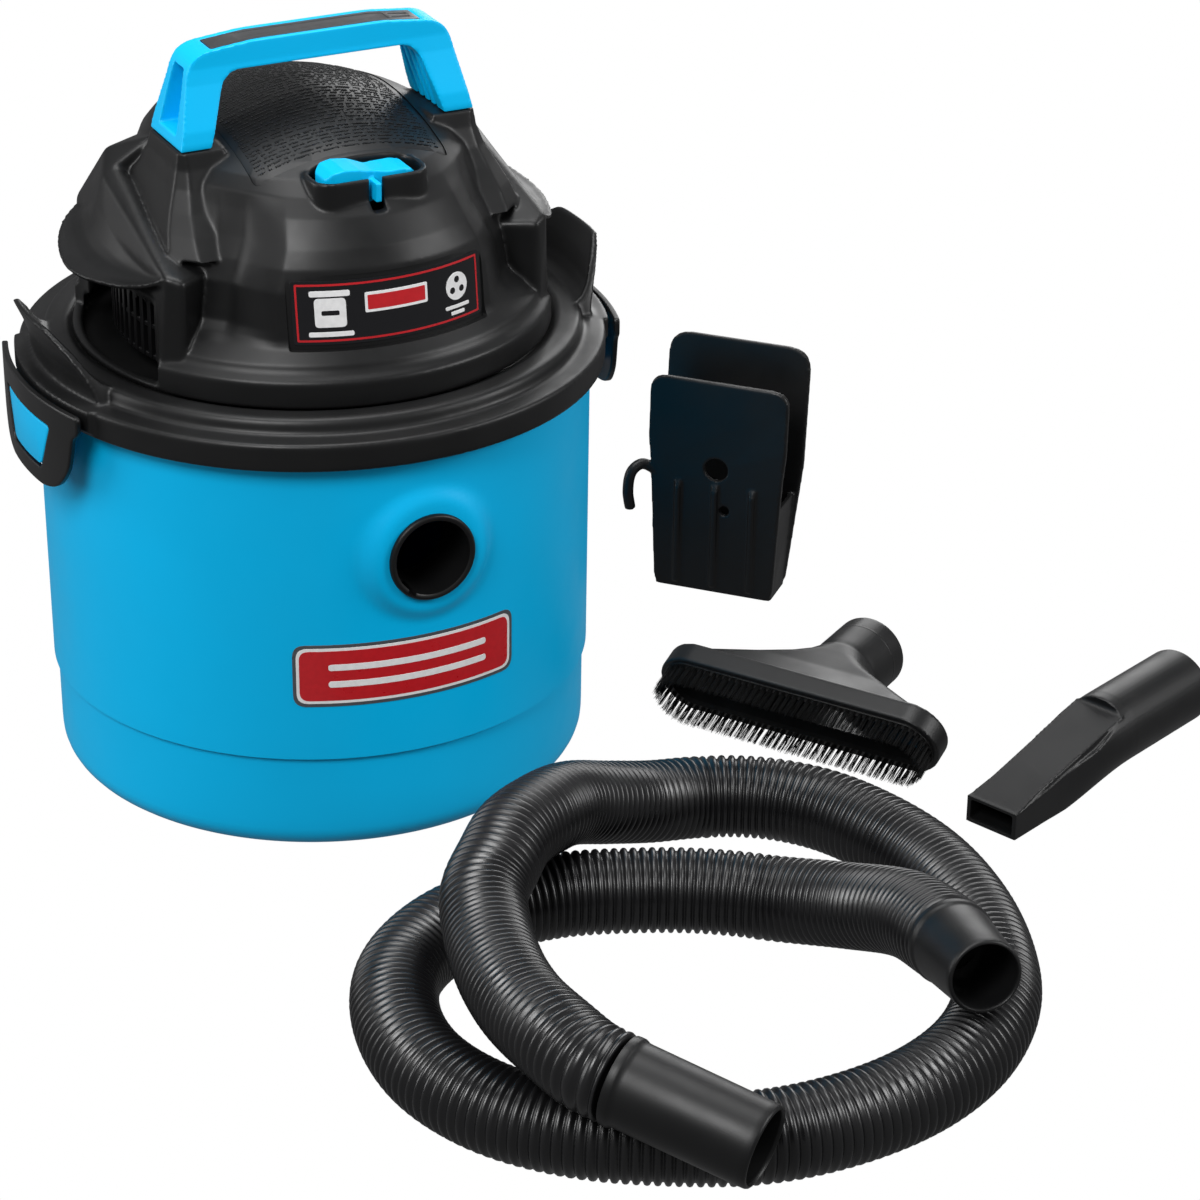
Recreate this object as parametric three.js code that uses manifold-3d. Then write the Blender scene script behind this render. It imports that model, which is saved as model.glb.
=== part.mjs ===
// Small wet and dry shop vacuum with its hose, brush nozzle, crevice tool and wall bracket.
// Millimetres, +Z up. The origin is on the drum's axis at the floor, the hose inlet faces -Y,
// and the carrying handle and the two lid latches lie along X.

import * as THREE from 'three';
import { ConvexGeometry } from 'three/addons/geometries/ConvexGeometry.js';
import { mergeVertices } from 'three/addons/utils/BufferGeometryUtils.js';
import Module from 'manifold-3d';

const wasm = await Module();
wasm.setup();

// ---------------------------------------------------------------- driving dimensions

const GAP = 0.3;                     // clearance between pieces that touch

const DRUM_TOP_R = 128;              // drum wall, outside, at the rim
const DRUM_STEP_R = 127.2;           // drum wall just above the step
const DRUM_LOW_R = 125;              // drum wall below the step
const DRUM_STEP_Z = 49;
const DRUM_TOP_Z = 204;
const DRUM_WALL = 2.6;
const DRUM_CORNER = 12;              // radius where the wall meets the floor
const RIM_R = 131.6;                 // drum's rolled rim

const INLET_Z = 147;                 // hose inlet axis
const INLET_BORE_R = 17.8;
const INLET_TUBE_R = 19.6;
const INLET_FLANGE_R = 20.6;
const INLET_FACE_Y = -133;

const BAND_R = 135;                  // outer band of the lid
const BAND_INNER_R = 132.4;
const BAND_LOW_Z = 195;
const BAND_TOP_Z = 208;
const DECK_Z = 206.4;                // underside of the lid's deck
const DECK_TOP_Z = DECK_Z + 2.6;
const SEAT_Z = 215;                  // where the motor cover sits on the lid
const SEAT_R = 111;
const PORT_R = 24;                   // air port through the deck

const COVER_R = 110;                 // motor cover's skirt
const COVER_LOW_Z = SEAT_Z + GAP;
const COVER_WALL = 2.6;
const COVER_TOP_Z = 325;
const CORD_Z = 250;                  // power cord's way out, at the back
const BOSS_AT = 66;                  // screw bosses at (+-66, +-66)

const BULGE_R = 137;                 // the lid's band bulges to this behind each latch

const LATCH_LOW_Z = 163;
const LATCH_TOP_Z = 206;
const LATCH_R = 158;                 // a latch is flatter than the drum: its own outer radius
const LATCH_AXIS_X = 16.2;           // how far beyond the drum's axis its own axis lies
const LATCH_THICK = 3;

const HANDLE_Y = -6;                 // middle of the handle
const HANDLE_TOP_Z = 354.5;
const HANDLE_FOOT_Z = 311;
const HANDLE_HALF = 70.5;            // half length over the feet
const GRIP_DEPTH = 21;
const FOOT_DEPTH = 38;

const SWITCH_Y = -64;                // middle of the rocker switch
const SWITCH_PIVOT_Z = 299;

const SHAFT_R = 4;
const CAGE_R = 44;
const CAGE_LOW_Z = 122;
const FLOAT_R = 30;

const HOSE_R = 19;
const TOOL_R = 18.6;                 // sockets of the two tools, outside
const TOOL_BORE_R = 16.1;

const FAR = 200;                     // reach of cutting blocks

// ---------------------------------------------------------------- materials

const MATERIALS = {
  blue: [0x04a3dc, 0.38, 0],
  black: [0x1c1c1d, 0.5, 0],
  darkGrey: [0x4a4c4e, 0.5, 0],
  hose: [0x18181a, 0.45, 0],
  rubber: [0x151515, 0.8, 0],
  steel: [0xa5a8ab, 0.35, 1],
  copper: [0xb0682f, 0.4, 0.9],
  foam: [0x2a2b2d, 0.95, 0],
  white: [0xd8d8d4, 0.5, 0],
};

function material(name) {
  const [color, roughness, metalness] = MATERIALS[name];
  return new THREE.MeshStandardMaterial({ color, roughness, metalness });
}

// ---------------------------------------------------------------- solids

// Six times the volume inside an indexed triangle mesh, negative when it is inside out.
function signedVolume(geometry) {
  const position = geometry.getAttribute('position');
  const [a, b, c] = [new THREE.Vector3(), new THREE.Vector3(), new THREE.Vector3()];
  let total = 0;
  for (let i = 0; i < geometry.index.count; i += 3) {
    a.fromBufferAttribute(position, geometry.index.getX(i));
    b.fromBufferAttribute(position, geometry.index.getX(i + 1));
    c.fromBufferAttribute(position, geometry.index.getX(i + 2));
    total += a.dot(b.cross(c));
  }
  return total;
}

// Turns a closed geometry into a solid whose faces point out.
function solid(geometry) {
  const bare = new THREE.BufferGeometry();
  bare.setAttribute('position', geometry.getAttribute('position'));
  bare.setIndex(geometry.index);
  const merged = mergeVertices(bare, 1e-3);
  const outward = signedVolume(merged) > 0;
  const faces = [];
  for (let i = 0; i < merged.index.count; i += 3) {
    const [a, b, c] = [0, 1, 2].map((k) => merged.index.getX(i + k));
    if (a !== b && b !== c && c !== a) {
      faces.push(...(outward ? [a, b, c] : [a, c, b]));
    }
  }
  return new wasm.Manifold(new wasm.Mesh({
    numProp: 3,
    vertProperties: new Float32Array(merged.getAttribute('position').array),
    triVerts: new Uint32Array(faces),
  }));
}

function join(first, ...others) {
  return others.reduce((sum, other) => sum.add(other), first);
}

function cut(first, ...others) {
  return others.reduce((rest, other) => rest.subtract(other), first);
}

// A solid of revolution about Z from [radius, height] pairs, on the axis or closed on itself.
// warp, if given, moves each point sideways: (x, y, z) to [x, y].
function turned(profile, segments = 28, warp = null) {
  const points = profile.map(([r, z]) => new THREE.Vector2(r, z));
  if (profile[0][0] > 0) {
    points.push(points[0].clone());
  }
  const geometry = new THREE.LatheGeometry(points, segments);
  geometry.rotateX(Math.PI / 2);
  if (warp) {
    const position = geometry.getAttribute('position');
    for (let i = 0; i < position.count; i += 1) {
      const [x, y] = warp(position.getX(i), position.getY(i), position.getZ(i));
      position.setXY(i, x, y);
    }
  }
  return solid(geometry);
}

// A plain tube, or a disc where inner is 0, about Z.
function sleeve(outer, inner, low, high, segments = 24) {
  return turned([[inner, low], [outer, low], [outer, high], [inner, high]], segments);
}

const AXES = {
  x: [[0, 1, 0], [0, 0, 1], [1, 0, 0]],
  y: [[1, 0, 0], [0, 0, 1], [0, -1, 0]],
  z: [[1, 0, 0], [0, 1, 0], [0, 0, 1]],
};

// An outline pushed along an axis. Along x it is drawn in YZ, along y in XZ, along z in XY.
function prism(outline, axis, low, high, bevel = 0) {
  const geometry = new THREE.ExtrudeGeometry(outline, {
    depth: high - low - 2 * bevel,
    bevelEnabled: bevel > 0,
    bevelThickness: bevel,
    bevelSize: bevel,
    bevelOffset: -bevel,
    bevelSegments: 1,
    curveSegments: 2,
  });
  geometry.translate(0, 0, (axis === 'y' ? -high : low) + bevel);
  const basis = AXES[axis].map((v) => new THREE.Vector3(...v));
  geometry.applyMatrix4(new THREE.Matrix4().makeBasis(...basis));
  return solid(mergeVertices(geometry.deleteAttribute('uv').deleteAttribute('normal'), 1e-3));
}

// The convex solid around a list of [x, y, z] points.
function hull(points) {
  const geometry = new ConvexGeometry(points.map((p) => new THREE.Vector3(...p)));
  return solid(mergeVertices(geometry.deleteAttribute('normal'), 1e-3));
}

function block(x0, x1, y0, y1, z0, z1) {
  const geometry = new THREE.BoxGeometry(x1 - x0, y1 - y0, z1 - z0);
  geometry.translate((x0 + x1) / 2, (y0 + y1) / 2, (z0 + z1) / 2);
  return solid(geometry);
}

// A closed outline through corner points, each corner rounded by radius.
function rounded(corners, radius) {
  const shape = new THREE.Shape();
  corners.forEach(([x, y], i) => {
    const corner = new THREE.Vector2(x, y);
    const toBefore = new THREE.Vector2(...corners.at(i - 1)).sub(corner).setLength(radius);
    const toAfter = new THREE.Vector2(...corners[(i + 1) % corners.length]).sub(corner).setLength(radius);
    if (i === 0) {
      shape.moveTo(x + toBefore.x, y + toBefore.y);
    } else {
      shape.lineTo(x + toBefore.x, y + toBefore.y);
    }
    shape.quadraticCurveTo(x, y, x + toAfter.x, y + toAfter.y);
  });
  shape.closePath();
  return shape;
}

// The four corners of a rectangle from its limits.
function rectangle(x0, x1, y0, y1) {
  return [[x0, y0], [x1, y0], [x1, y1], [x0, y1]];
}

function rectangleShape(x0, x1, y0, y1) {
  return new THREE.Shape(rectangle(x0, x1, y0, y1).map(([x, y]) => new THREE.Vector2(x, y)));
}

function circle(x, y, radius, sides = 20) {
  const points = [];
  for (let i = 0; i < sides; i += 1) {
    const angle = 2 * Math.PI * (i + 0.5) / sides;
    points.push(new THREE.Vector2(x + radius * Math.cos(angle), y + radius * Math.sin(angle)));
  }
  return new THREE.Shape(points);
}

// A round rod along a smooth curve through points.
function rod(points, radius, sides, steps) {
  const route = new THREE.CatmullRomCurve3(points.map((p) => new THREE.Vector3(...p)));
  const section = circle(0, 0, radius, sides);
  const geometry = new THREE.ExtrudeGeometry(section, { steps, extrudePath: route });
  return solid(mergeVertices(geometry.deleteAttribute('uv').deleteAttribute('normal'), 1e-3));
}

function geometryOf(shape) {
  const mesh = shape.getMesh();
  const geometry = new THREE.BufferGeometry();
  geometry.setAttribute('position', new THREE.BufferAttribute(mesh.vertProperties, 3));
  geometry.setIndex(new THREE.BufferAttribute(mesh.triVerts, 1));
  geometry.computeVertexNormals();
  return geometry;
}

const vacuum = new THREE.Group();

function add(name, shape, finish, parent = vacuum) {
  const mesh = new THREE.Mesh(geometryOf(shape), material(finish));
  mesh.name = name;
  parent.add(mesh);
  return mesh;
}

const SIDES = [['left', -1], ['right', 1]];

// An outline in YZ pushed through one side of the vacuum, from the axis outwards.
function sidePrism(outline, side) {
  return prism(outline, 'x', Math.min(0, side * FAR), Math.max(0, side * FAR));
}

// ---------------------------------------------------------------- drum

function latchOutline() {
  return rounded([[-22, LATCH_LOW_Z], [22, LATCH_LOW_Z], [42, 178], [48, 197], [50, LATCH_TOP_Z],
    [-50, LATCH_TOP_Z], [-48, 197], [-42, 178]], 4);
}

// The opening in a latch, or what shows through it when inset is its clearance.
function latchWindow(inset) {
  return rounded([[-18 + inset, 171 + inset], [18 - inset, 171 + inset],
    [28 - inset, 195 - inset], [-28 + inset, 195 - inset]], 2.5);
}

// The solid inside a latch's outer face, less inset.
function latchShell(side, inset, low) {
  return sleeve(LATCH_R - inset, 0, low, LATCH_TOP_Z, 96).translate([-side * LATCH_AXIS_X, 0, 0]);
}

function drumShell() {
  const corner = [];
  const inside = [];
  for (let i = 0; i <= 3; i += 1) {
    const angle = i * Math.PI / 6;
    const r = DRUM_LOW_R - DRUM_CORNER * (1 - Math.sin(angle));
    const z = DRUM_CORNER * (1 - Math.cos(angle));
    corner.push([r, z]);
    inside.unshift([r - DRUM_WALL * Math.sin(angle), z + DRUM_WALL * Math.cos(angle)]);
  }
  return turned([
    [0, 0], ...corner,
    [DRUM_LOW_R + 0.3, DRUM_STEP_Z - 1], [DRUM_STEP_R, DRUM_STEP_Z],
    [DRUM_TOP_R, DRUM_TOP_Z - 6], [RIM_R, DRUM_TOP_Z - 5], [RIM_R, DRUM_TOP_Z],
    [DRUM_TOP_R - DRUM_WALL, DRUM_TOP_Z], [DRUM_STEP_R - DRUM_WALL, DRUM_STEP_Z + 1],
    [DRUM_LOW_R - DRUM_WALL, DRUM_STEP_Z - 1], ...inside, [0, DRUM_WALL],
  ], 40);
}

function addDrum() {
  const hollow = sleeve(DRUM_STEP_R - DRUM_WALL, 0, 60, 203, 40);
  const boss = cut(prism(circle(0, INLET_Z, 28), 'y', -130.4, -116, 1), hollow);
  const bore = prism(circle(0, INLET_Z, INLET_TUBE_R + GAP), 'y', -140, -110);
  const lugs = SIDES.map(([, side]) => (
    cut(latchShell(side, 0.8, 160), hollow).intersect(sidePrism(latchWindow(1), side))
  ));
  add('drum', cut(join(drumShell(), boss, ...lugs), bore), 'blue');

  add('inlet_collar', cut(
    join(
      prism(circle(0, INLET_Z, INLET_FLANGE_R), 'y', INLET_FACE_Y, -130.4 - GAP, 0.5),
      prism(circle(0, INLET_Z, INLET_TUBE_R), 'y', -132, -104),
    ),
    prism(circle(0, INLET_Z, INLET_BORE_R), 'y', -140, -90),
  ), 'black');

  add('rim_seal', sleeve(129.3, 125.8, DRUM_TOP_Z + GAP, DECK_Z - GAP, 40), 'rubber');
}

// ---------------------------------------------------------------- lid and latches

// Section of the flared ear that stands over each latch.
const EAR_SECTION = [[121.5, 207], [128, 207], [129, 216], [132, 226], [138, 238],
  [135.6, 239], [129.4, 227], [126.3, 216.5], [121.5, 214]];

const EAR_OUTLINE = [[-47, 205], [47, 205], [36, 232], [30, 245], [-30, 245], [-36, 232]];

// Centre of a screw in each corner of the lid.
const CORNERS = [[-1, -1], [1, -1], [1, 1], [-1, 1]].map(([i, j]) => [i * BOSS_AT, j * BOSS_AT]);

function addLid() {
  const ring = turned([
    [PORT_R, DECK_Z], [129.8, DECK_Z], [129.8, 205], [BAND_INNER_R, 205],
    [BAND_INNER_R, BAND_LOW_Z], [BAND_R, BAND_LOW_Z], [BAND_R, BAND_TOP_Z - 1],
    [BAND_R - 1, BAND_TOP_Z], [124, BAND_TOP_Z + 0.5], [123, 213.5], [121, SEAT_Z],
    [SEAT_R - 3, SEAT_Z], [SEAT_R - 3, DECK_TOP_Z], [PORT_R, DECK_TOP_Z],
  ], 40);
  const bulges = SIDES.map(([, side]) => (
    sleeve(BULGE_R, BAND_R - 1, BAND_LOW_Z + 3, BAND_TOP_Z, 40)
      .intersect(sidePrism(rectangleShape(-50, 50, 190, 210), side))
  ));
  const ears = SIDES.map(([, side]) => (
    turned(EAR_SECTION, 40).intersect(sidePrism(rounded(EAR_OUTLINE, 5), side))
  ));
  const holes = CORNERS.map(([x, y]) => sleeve(2.5, 0, 200, 212, 8).translate([x, y, 0]));
  add('lid_base', cut(join(ring, ...bulges, ...ears), ...holes), 'black');
}

function addLatches() {
  for (const [name, side] of SIDES) {
    const wall = cut(latchShell(side, 0, LATCH_LOW_Z - 5), latchShell(side, LATCH_THICK, 150));
    const face = wall.intersect(sidePrism(latchOutline(), side));
    add(`latch_${name}`, cut(face, sidePrism(latchWindow(0), side)), 'black');
  }
}

// ---------------------------------------------------------------- motor cover

const DOME = [[98, 240], [95.8, 262], [92.3, 280], [88, 291], [77, 303.5], [61, 311], [40, 318],
  [20, 323]];

// The dome leans back towards its top and is narrower across X there.
function leanDome(x, y, z) {
  const narrow = 1 - 0.14 * THREE.MathUtils.smoothstep(z, 255, 290);
  return [x * narrow, y + 14 * THREE.MathUtils.smoothstep(z, 268, 318)];
}

function dome(inset) {
  const crown = DOME.map(([r, z]) => {
    const rise = THREE.MathUtils.smoothstep(z, 240, 310);
    return [r - inset * Math.sqrt(1 - rise * rise * 0.9), z - inset * rise];
  });
  return turned([
    [0, COVER_LOW_Z - 2 * inset], [COVER_R - inset, COVER_LOW_Z - 2 * inset],
    [COVER_R - inset, 226 - inset], [104.5 - inset, 233 - inset], ...crown,
    [0, COVER_TOP_Z - inset],
  ], 32, leanDome);
}

// Flared pedestal under one foot of the handle.
function pedestal(side, inset) {
  const top = [[50, 22], [72, 22], [76, 17], [76, -17], [72, -22], [50, -22]];
  const low = [[38, 42], [80, 42], [91, 28], [91, -28], [76, -44], [38, -60]];
  const place = (z) => ([x, y]) => (
    [side * (x - inset * Math.sign(x - 60)), HANDLE_Y + y - inset * Math.sign(y), z]
  );
  return hull([...top.map(place(HANDLE_FOOT_Z - GAP - inset)), ...low.map(place(262))]);
}

// Hood over the vent on one side: a ridge that climbs to the back above a lip that stands out.
function hood(side, inset) {
  const ridge = [[80, -56, 264], [88, 0, 279], [88, 30, 288], [80, 52, 284]];
  const lip = [[90, -52, 260], [104, -33, 256], [113, -10, 254], [115.5, 4, 255], [112, 22, 257],
    [107, 36, 260], [96, 52, 263]];
  const root = [[60, -56, 250], [60, 56, 250], [60, 56, 280], [60, -50, 264]];
  return hull([...ridge, ...lip, ...root].map(([x, y, z]) => (
    [side * (x - inset), y - inset * Math.sign(y), z - inset * Math.sign(z - 256)]
  )));
}

function collar(inset, low, high) {
  const limits = [-27.4 + inset, 27.4 - inset, SWITCH_Y - 12.4 + inset, SWITCH_Y + 12.4 - inset];
  return prism(rounded(rectangle(...limits), 9 - inset), 'z', low, high);
}

// The insert between the handle's feet, from above.
function panelOutline(inset) {
  return rounded(rectangle(-46.5 + inset, 46.5 - inset, -51 + inset, 56 - inset), 4);
}

function addCover() {
  const bosses = CORNERS.map(([x, y]) => (
    sleeve(5, 0, DECK_TOP_Z + GAP, 240, 10).translate([x, y, 0]).intersect(
      join(dome(1), sleeve(99, 0, 200, COVER_LOW_Z + 2)),
    )
  ));
  const pilots = CORNERS.map(([x, y]) => sleeve(2.5, 0, 200, 232, 8).translate([x, y, 0]));
  const outside = join(
    dome(0),
    ...SIDES.flatMap(([, side]) => [pedestal(side, 0), hood(side, 0)]),
    collar(0, 285, 306),
  );
  const inside = join(
    dome(COVER_WALL),
    ...SIDES.flatMap(([, side]) => [pedestal(side, 3), hood(side, 3)]),
  );
  const vents = SIDES.map(([, side]) => (
    sidePrism(rounded(rectangle(-44, 44, 217.5, 249), 5), side).intersect(
      cut(block(-FAR, FAR, -FAR, FAR, 200, 260), sleeve(84, 0, 190, 270)),
    )
  ));
  const seats = SIDES.map(([, side]) => (
    block(side * 65 - 17, side * 65 + 17, HANDLE_Y - 26, HANDLE_Y + 26, HANDLE_FOOT_Z - GAP, 340)
  ));
  const fin = block(-3, 3, SWITCH_Y - 24, SWITCH_Y, 290, 310);
  const cordHole = prism(circle(0, CORD_Z, 6.5), 'y', 80, 120);
  const shell = cut(outside, inside, ...vents, collar(2.6, 270, 310), fin, cordHole,
    prism(panelOutline(0), 'z', 286, 340), ...seats);
  add('motor_cover', cut(join(shell, ...bosses), ...pilots), 'black');

  const insert = cut(dome(0.3), dome(2.6)).intersect(prism(panelOutline(0.4), 'z', 286, 340));
  add('top_panel', cut(insert, collar(-0.4, 270, 330)), 'black');
}

function addVents() {
  for (const [name, side] of SIDES) {
    const frame = sleeve(94.6, 92.4, 218, 248.5, 64)
      .intersect(sidePrism(rounded(rectangle(-43.6, 43.6, 218, 248.5), 4), side));
    const slots = [];
    for (let y = -36; y <= 36; y += 9) {
      slots.push(block(-FAR, FAR, y - 2.4, y + 2.4, 222, 245));
    }
    add(`vent_grille_${name}`, cut(frame, ...slots), 'black');
  }
}

// ---------------------------------------------------------------- handle, switch, cord gland

// A strip along the arched top of the grip, between two depths below it.
function gripStrip(top, bottom, reach) {
  const end = HANDLE_TOP_Z - 0.1 * (reach - 30);
  const line = [[-reach, end], [-30, HANDLE_TOP_Z], [30, HANDLE_TOP_Z], [reach, end]];
  const sunk = (depth) => line.map(([x, z]) => new THREE.Vector2(x, z - depth));
  return new THREE.Shape([...sunk(bottom), ...sunk(top).reverse()]);
}

function addHandle() {
  const outer = rounded([[-HANDLE_HALF, HANDLE_FOOT_Z], [-63, 351.3], [-30, HANDLE_TOP_Z],
    [30, HANDLE_TOP_Z], [63, 351.3], [HANDLE_HALF, HANDLE_FOOT_Z]], 9);
  const window = rounded([[-57, HANDLE_FOOT_Z - 20], [-46, 342.5], [46, 342.5],
    [57, HANDLE_FOOT_Z - 20]], 7);
  const arch = cut(
    prism(outer, 'y', HANDLE_Y - FOOT_DEPTH / 2, HANDLE_Y + FOOT_DEPTH / 2, 2),
    prism(window, 'y', -FAR, FAR),
    block(-FAR, FAR, -FAR, FAR, 280, HANDLE_FOOT_Z),
  );
  const slopes = [-1, 1].map((j) => hull([-FAR, FAR].flatMap((x) => [
    [x, HANDLE_Y + j * FOOT_DEPTH / 2, 318], [x, HANDLE_Y + j * 60, 318],
    [x, HANDLE_Y + j * GRIP_DEPTH / 2, 346], [x, HANDLE_Y + j * GRIP_DEPTH / 2, 370],
    [x, HANDLE_Y + j * 60, 370],
  ])));
  const recesses = SIDES.map(([, side]) => hull([-1, 1].flatMap((j) => [
    [side * 58, HANDLE_Y + j * 5, 343], [side * 64, HANDLE_Y + j * 9, 316],
    [side * 90, HANDLE_Y + j * 8, 349], [side * 90, HANDLE_Y + j * 12, 316],
  ])));
  const bay = gripStrip(-20, 1.5, 50.4);
  add('handle', cut(arch, ...slopes, ...recesses, prism(bay, 'y', HANDLE_Y - 7.1, HANDLE_Y + 7.1)), 'blue');
  const strip = gripStrip(0.2, 1.2, 50);
  add('grip_inlay', prism(strip, 'y', HANDLE_Y - 6.7, HANDLE_Y + 6.7), 'darkGrey');
}

function addSwitch() {
  const paddle = rounded([[-22.5, 296], [-20, 308.5], [-10, 310], [2, 306.6], [12, 307],
    [21, 305], [22.5, 294.5], [0, 294]], 2);
  add('switch_rocker', join(
    prism(paddle, 'y', SWITCH_Y - 8.6, SWITCH_Y + 8.6, 1),
    block(-1.5, 1.5, SWITCH_Y - 15.5, SWITCH_Y - 5, 295, 304),
  ), 'blue');
  add('switch_body', join(
    block(-14, 14, SWITCH_Y - 9, SWITCH_Y + 9, 266, 287),
    block(-24, 24, SWITCH_Y - 4, SWITCH_Y + 4, 274, 276),
  ), 'black');
}

function addCordGland() {
  add('cord_gland', cut(
    join(
      prism(circle(0, CORD_Z, 6.2), 'y', 88, 99),
      prism(circle(0, CORD_Z, 9), 'y', 98.4, 101.6, 0.8),
      prism(circle(0, CORD_Z, 5), 'y', 101, 112),
    ),
    prism(circle(0, CORD_Z, 3.4), 'y', 70, 130),
  ), 'rubber');
}

// ---------------------------------------------------------------- motor and blower

function impellerBlades(count) {
  const blades = [];
  for (let i = 0; i < count; i += 1) {
    const blade = block(19, 48, -0.8, 0.8, 215.8, 228.8).translate([0, 6, 0]);
    blades.push(blade.rotate([0, 0, i * 360 / count]));
  }
  return blades;
}

function addBlower() {
  const wall = turned([[27, 209.5], [60, 209.5], [60, 238], [13, 238], [13, 235.5], [57.4, 235.5],
    [57.4, 212], [27, 212]]);
  const ports = block(-80, 80, -18, 18, 214, 233).subtract(sleeve(56, 0, 200, 240));
  add('impeller_housing', cut(wall, ports), 'black');
  const hub = sleeve(9, SHAFT_R + GAP, 213, 231);
  const backPlate = sleeve(51, 8, 228.4, 230);
  const shroud = sleeve(51, 24, 214.4, 216);
  add('impeller', cut(join(hub, backPlate, shroud, ...impellerBlades(8)),
    sleeve(SHAFT_R + GAP, 0, 200, 240)), 'steel');
}

function addMotor() {
  add('motor_gasket', sleeve(46, 34, 238.3, 239.5), 'rubber');
  add('motor_base', join(sleeve(48, 11.6, 239.8, 242.6), sleeve(14.5, 11.6, 242.2, 248.5)), 'steel');
  add('lower_bearing', sleeve(11.3, SHAFT_R + GAP, 240.5, 247), 'steel');
  add('field_core', sleeve(42, 28, 249, 277), 'steel');
  const coils = cut(sleeve(27.7, 22.6, 246, 280), block(-FAR, FAR, -5, 5, 200, 300));
  add('field_coil_front', cut(coils, block(-FAR, FAR, 0, FAR, 200, 300)), 'copper');
  add('field_coil_back', cut(coils, block(-FAR, FAR, -FAR, 0, 200, 300)), 'copper');
  add('armature', sleeve(21.4, SHAFT_R + GAP, 250, 276), 'steel');
  add('commutator', sleeve(11, SHAFT_R + GAP, 281, 290), 'copper');
  add('motor_shaft', sleeve(SHAFT_R, 0, 211, 311, 20), 'steel');
  for (const [name, side] of SIDES) {
    const [near, far] = [side * 11.4, side * 30];
    add(`brush_holder_${name}`, block(Math.min(near, far), Math.max(near, far), -4, 4, 282, 289),
      'copper');
  }
  const legs = SIDES.map(([, side]) => (
    block(side > 0 ? 36 : -42, side > 0 ? 42 : -36, -7, 7, 277.3, 296)
  ));
  add('motor_top_bracket', cut(
    join(block(-42, 42, -7, 7, 293, 296), sleeve(12, 0, 293, 302), ...legs),
    sleeve(9.6, 0, 295.4, 310),
    sleeve(SHAFT_R + 1, 0, 280, 310),
  ), 'steel');
  add('upper_bearing', sleeve(9.3, SHAFT_R + GAP, 295.7, 301.5), 'steel');
  const vanes = [];
  for (let i = 0; i < 8; i += 1) {
    vanes.push(block(8, 29, -0.8, 0.8, 304, 309.5).rotate([0, 0, i * 45]));
  }
  add('cooling_fan', cut(join(sleeve(9, 0, 302.8, 310), sleeve(30, 0, 302.8, 304.4), ...vanes),
    sleeve(SHAFT_R + GAP, 0, 290, 320)), 'white');
}

// ---------------------------------------------------------------- filter and float

function addFilter() {
  const bars = [];
  for (let i = 0; i < 8; i += 1) {
    bars.push(block(CAGE_R - 3, CAGE_R, -2.5, 2.5, CAGE_LOW_Z, 205).rotate([0, 0, i * 45 + 22.5]));
  }
  const drains = [];
  for (let i = 0; i < 6; i += 1) {
    drains.push(sleeve(5, 0, 110, 130, 8).translate([24, 0, 0]).rotate([0, 0, i * 60]));
  }
  add('filter_cage', join(
    sleeve(50, PORT_R + 1, 203.6, DECK_Z - GAP),
    cut(sleeve(CAGE_R + 2, 0, CAGE_LOW_Z, CAGE_LOW_Z + 2.6), ...drains),
    sleeve(CAGE_R, CAGE_R - 2.6, 162, 166),
    ...bars,
  ), 'black');
  add('float_cup', turned([[0, 126], [FLOAT_R - 6, 126], [FLOAT_R, 131], [FLOAT_R, 152],
    [FLOAT_R - 10, 160], [0, 162]], 32), 'white');
  add('foam_sleeve', sleeve(56, CAGE_R + 2.5, 121, 203), 'foam');
  add('filter_retainer', sleeve(58, 56.3, 194, 200), 'rubber');
}

function addScrews() {
  CORNERS.forEach(([x, y], i) => {
    const screw = join(sleeve(4.5, 0, 203.4, DECK_Z - GAP, 12), sleeve(2, 0, 205, 229, 6));
    add(`cover_screw_${i + 1}`, screw.translate([x, y, 0]), 'steel');
  });
}

// ---------------------------------------------------------------- hose and cuffs

// Centreline on the floor: up over its own front strand, once round, and back inside the loop.
const HOSE_ROUTE = [
  [-50, -411, 55.6], [-56, -402, 57.4], [-60, -382, 58.5], [-60, -350, 55], [-55, -318, 52], [-46, -286, 51],
  [-36, -261, 54], [-21, -244, 57.5], [-7, -229, 58.4], [14, -213, 54.8], [37, -194, 45],
  [62, -182, 33], [88, -175, 23.4], [113, -175, 19.4], [138, -187, 19.1], [158, -208, 19.1],
  [171, -238, 19.1], [177, -272, 19.1], [174, -309, 19.1], [163, -347, 19.1], [145, -381, 19.1],
  [118, -407, 19.1], [85, -423, 19.1], [47, -429, 19.1], [9, -425, 19.1], [-25, -410, 19.1],
  [-57, -388, 19.1], [-80, -359, 19.1], [-91, -324, 19.1], [-88, -287, 19.1], [-74, -256, 19.1],
  [-50, -235, 19.1], [-20, -224, 19.1], [14, -224, 19.1], [48, -235, 19.1], [79, -251, 19.1],
  [104, -272, 20], [120, -300, 28], [126, -338, 43], [122, -377, 53.5],
];

// A hollow cuff from one point of the hose's end to its own tip.
function addCuff(name, from, to, profile) {
  const start = new THREE.Vector3(...from);
  const along = new THREE.Vector3(...to).sub(start);
  const cuff = add(name, turned(profile(along.length()), 24), 'black');
  cuff.position.copy(start);
  cuff.quaternion.setFromUnitVectors(new THREE.Vector3(0, 0, 1), along.normalize());
}

function addHose() {
  add('hose', rod(HOSE_ROUTE, HOSE_R, 8, 60), 'hose');
  addCuff('hose_cuff_machine', [-50, -411, 55.6], [-12, -463, 44], (length) => [
    [15.4, 2], [18.6, 2], [18, 12], [17.5, length], [15.4, length],
  ]);
  addCuff('hose_cuff_tool', [122, -377, 53.5], [114, -418, 60.5], (length) => [
    [13.9, 3], [18.9, 3], [18, 10], [15.9, length], [13.9, length],
  ]);
}

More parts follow.
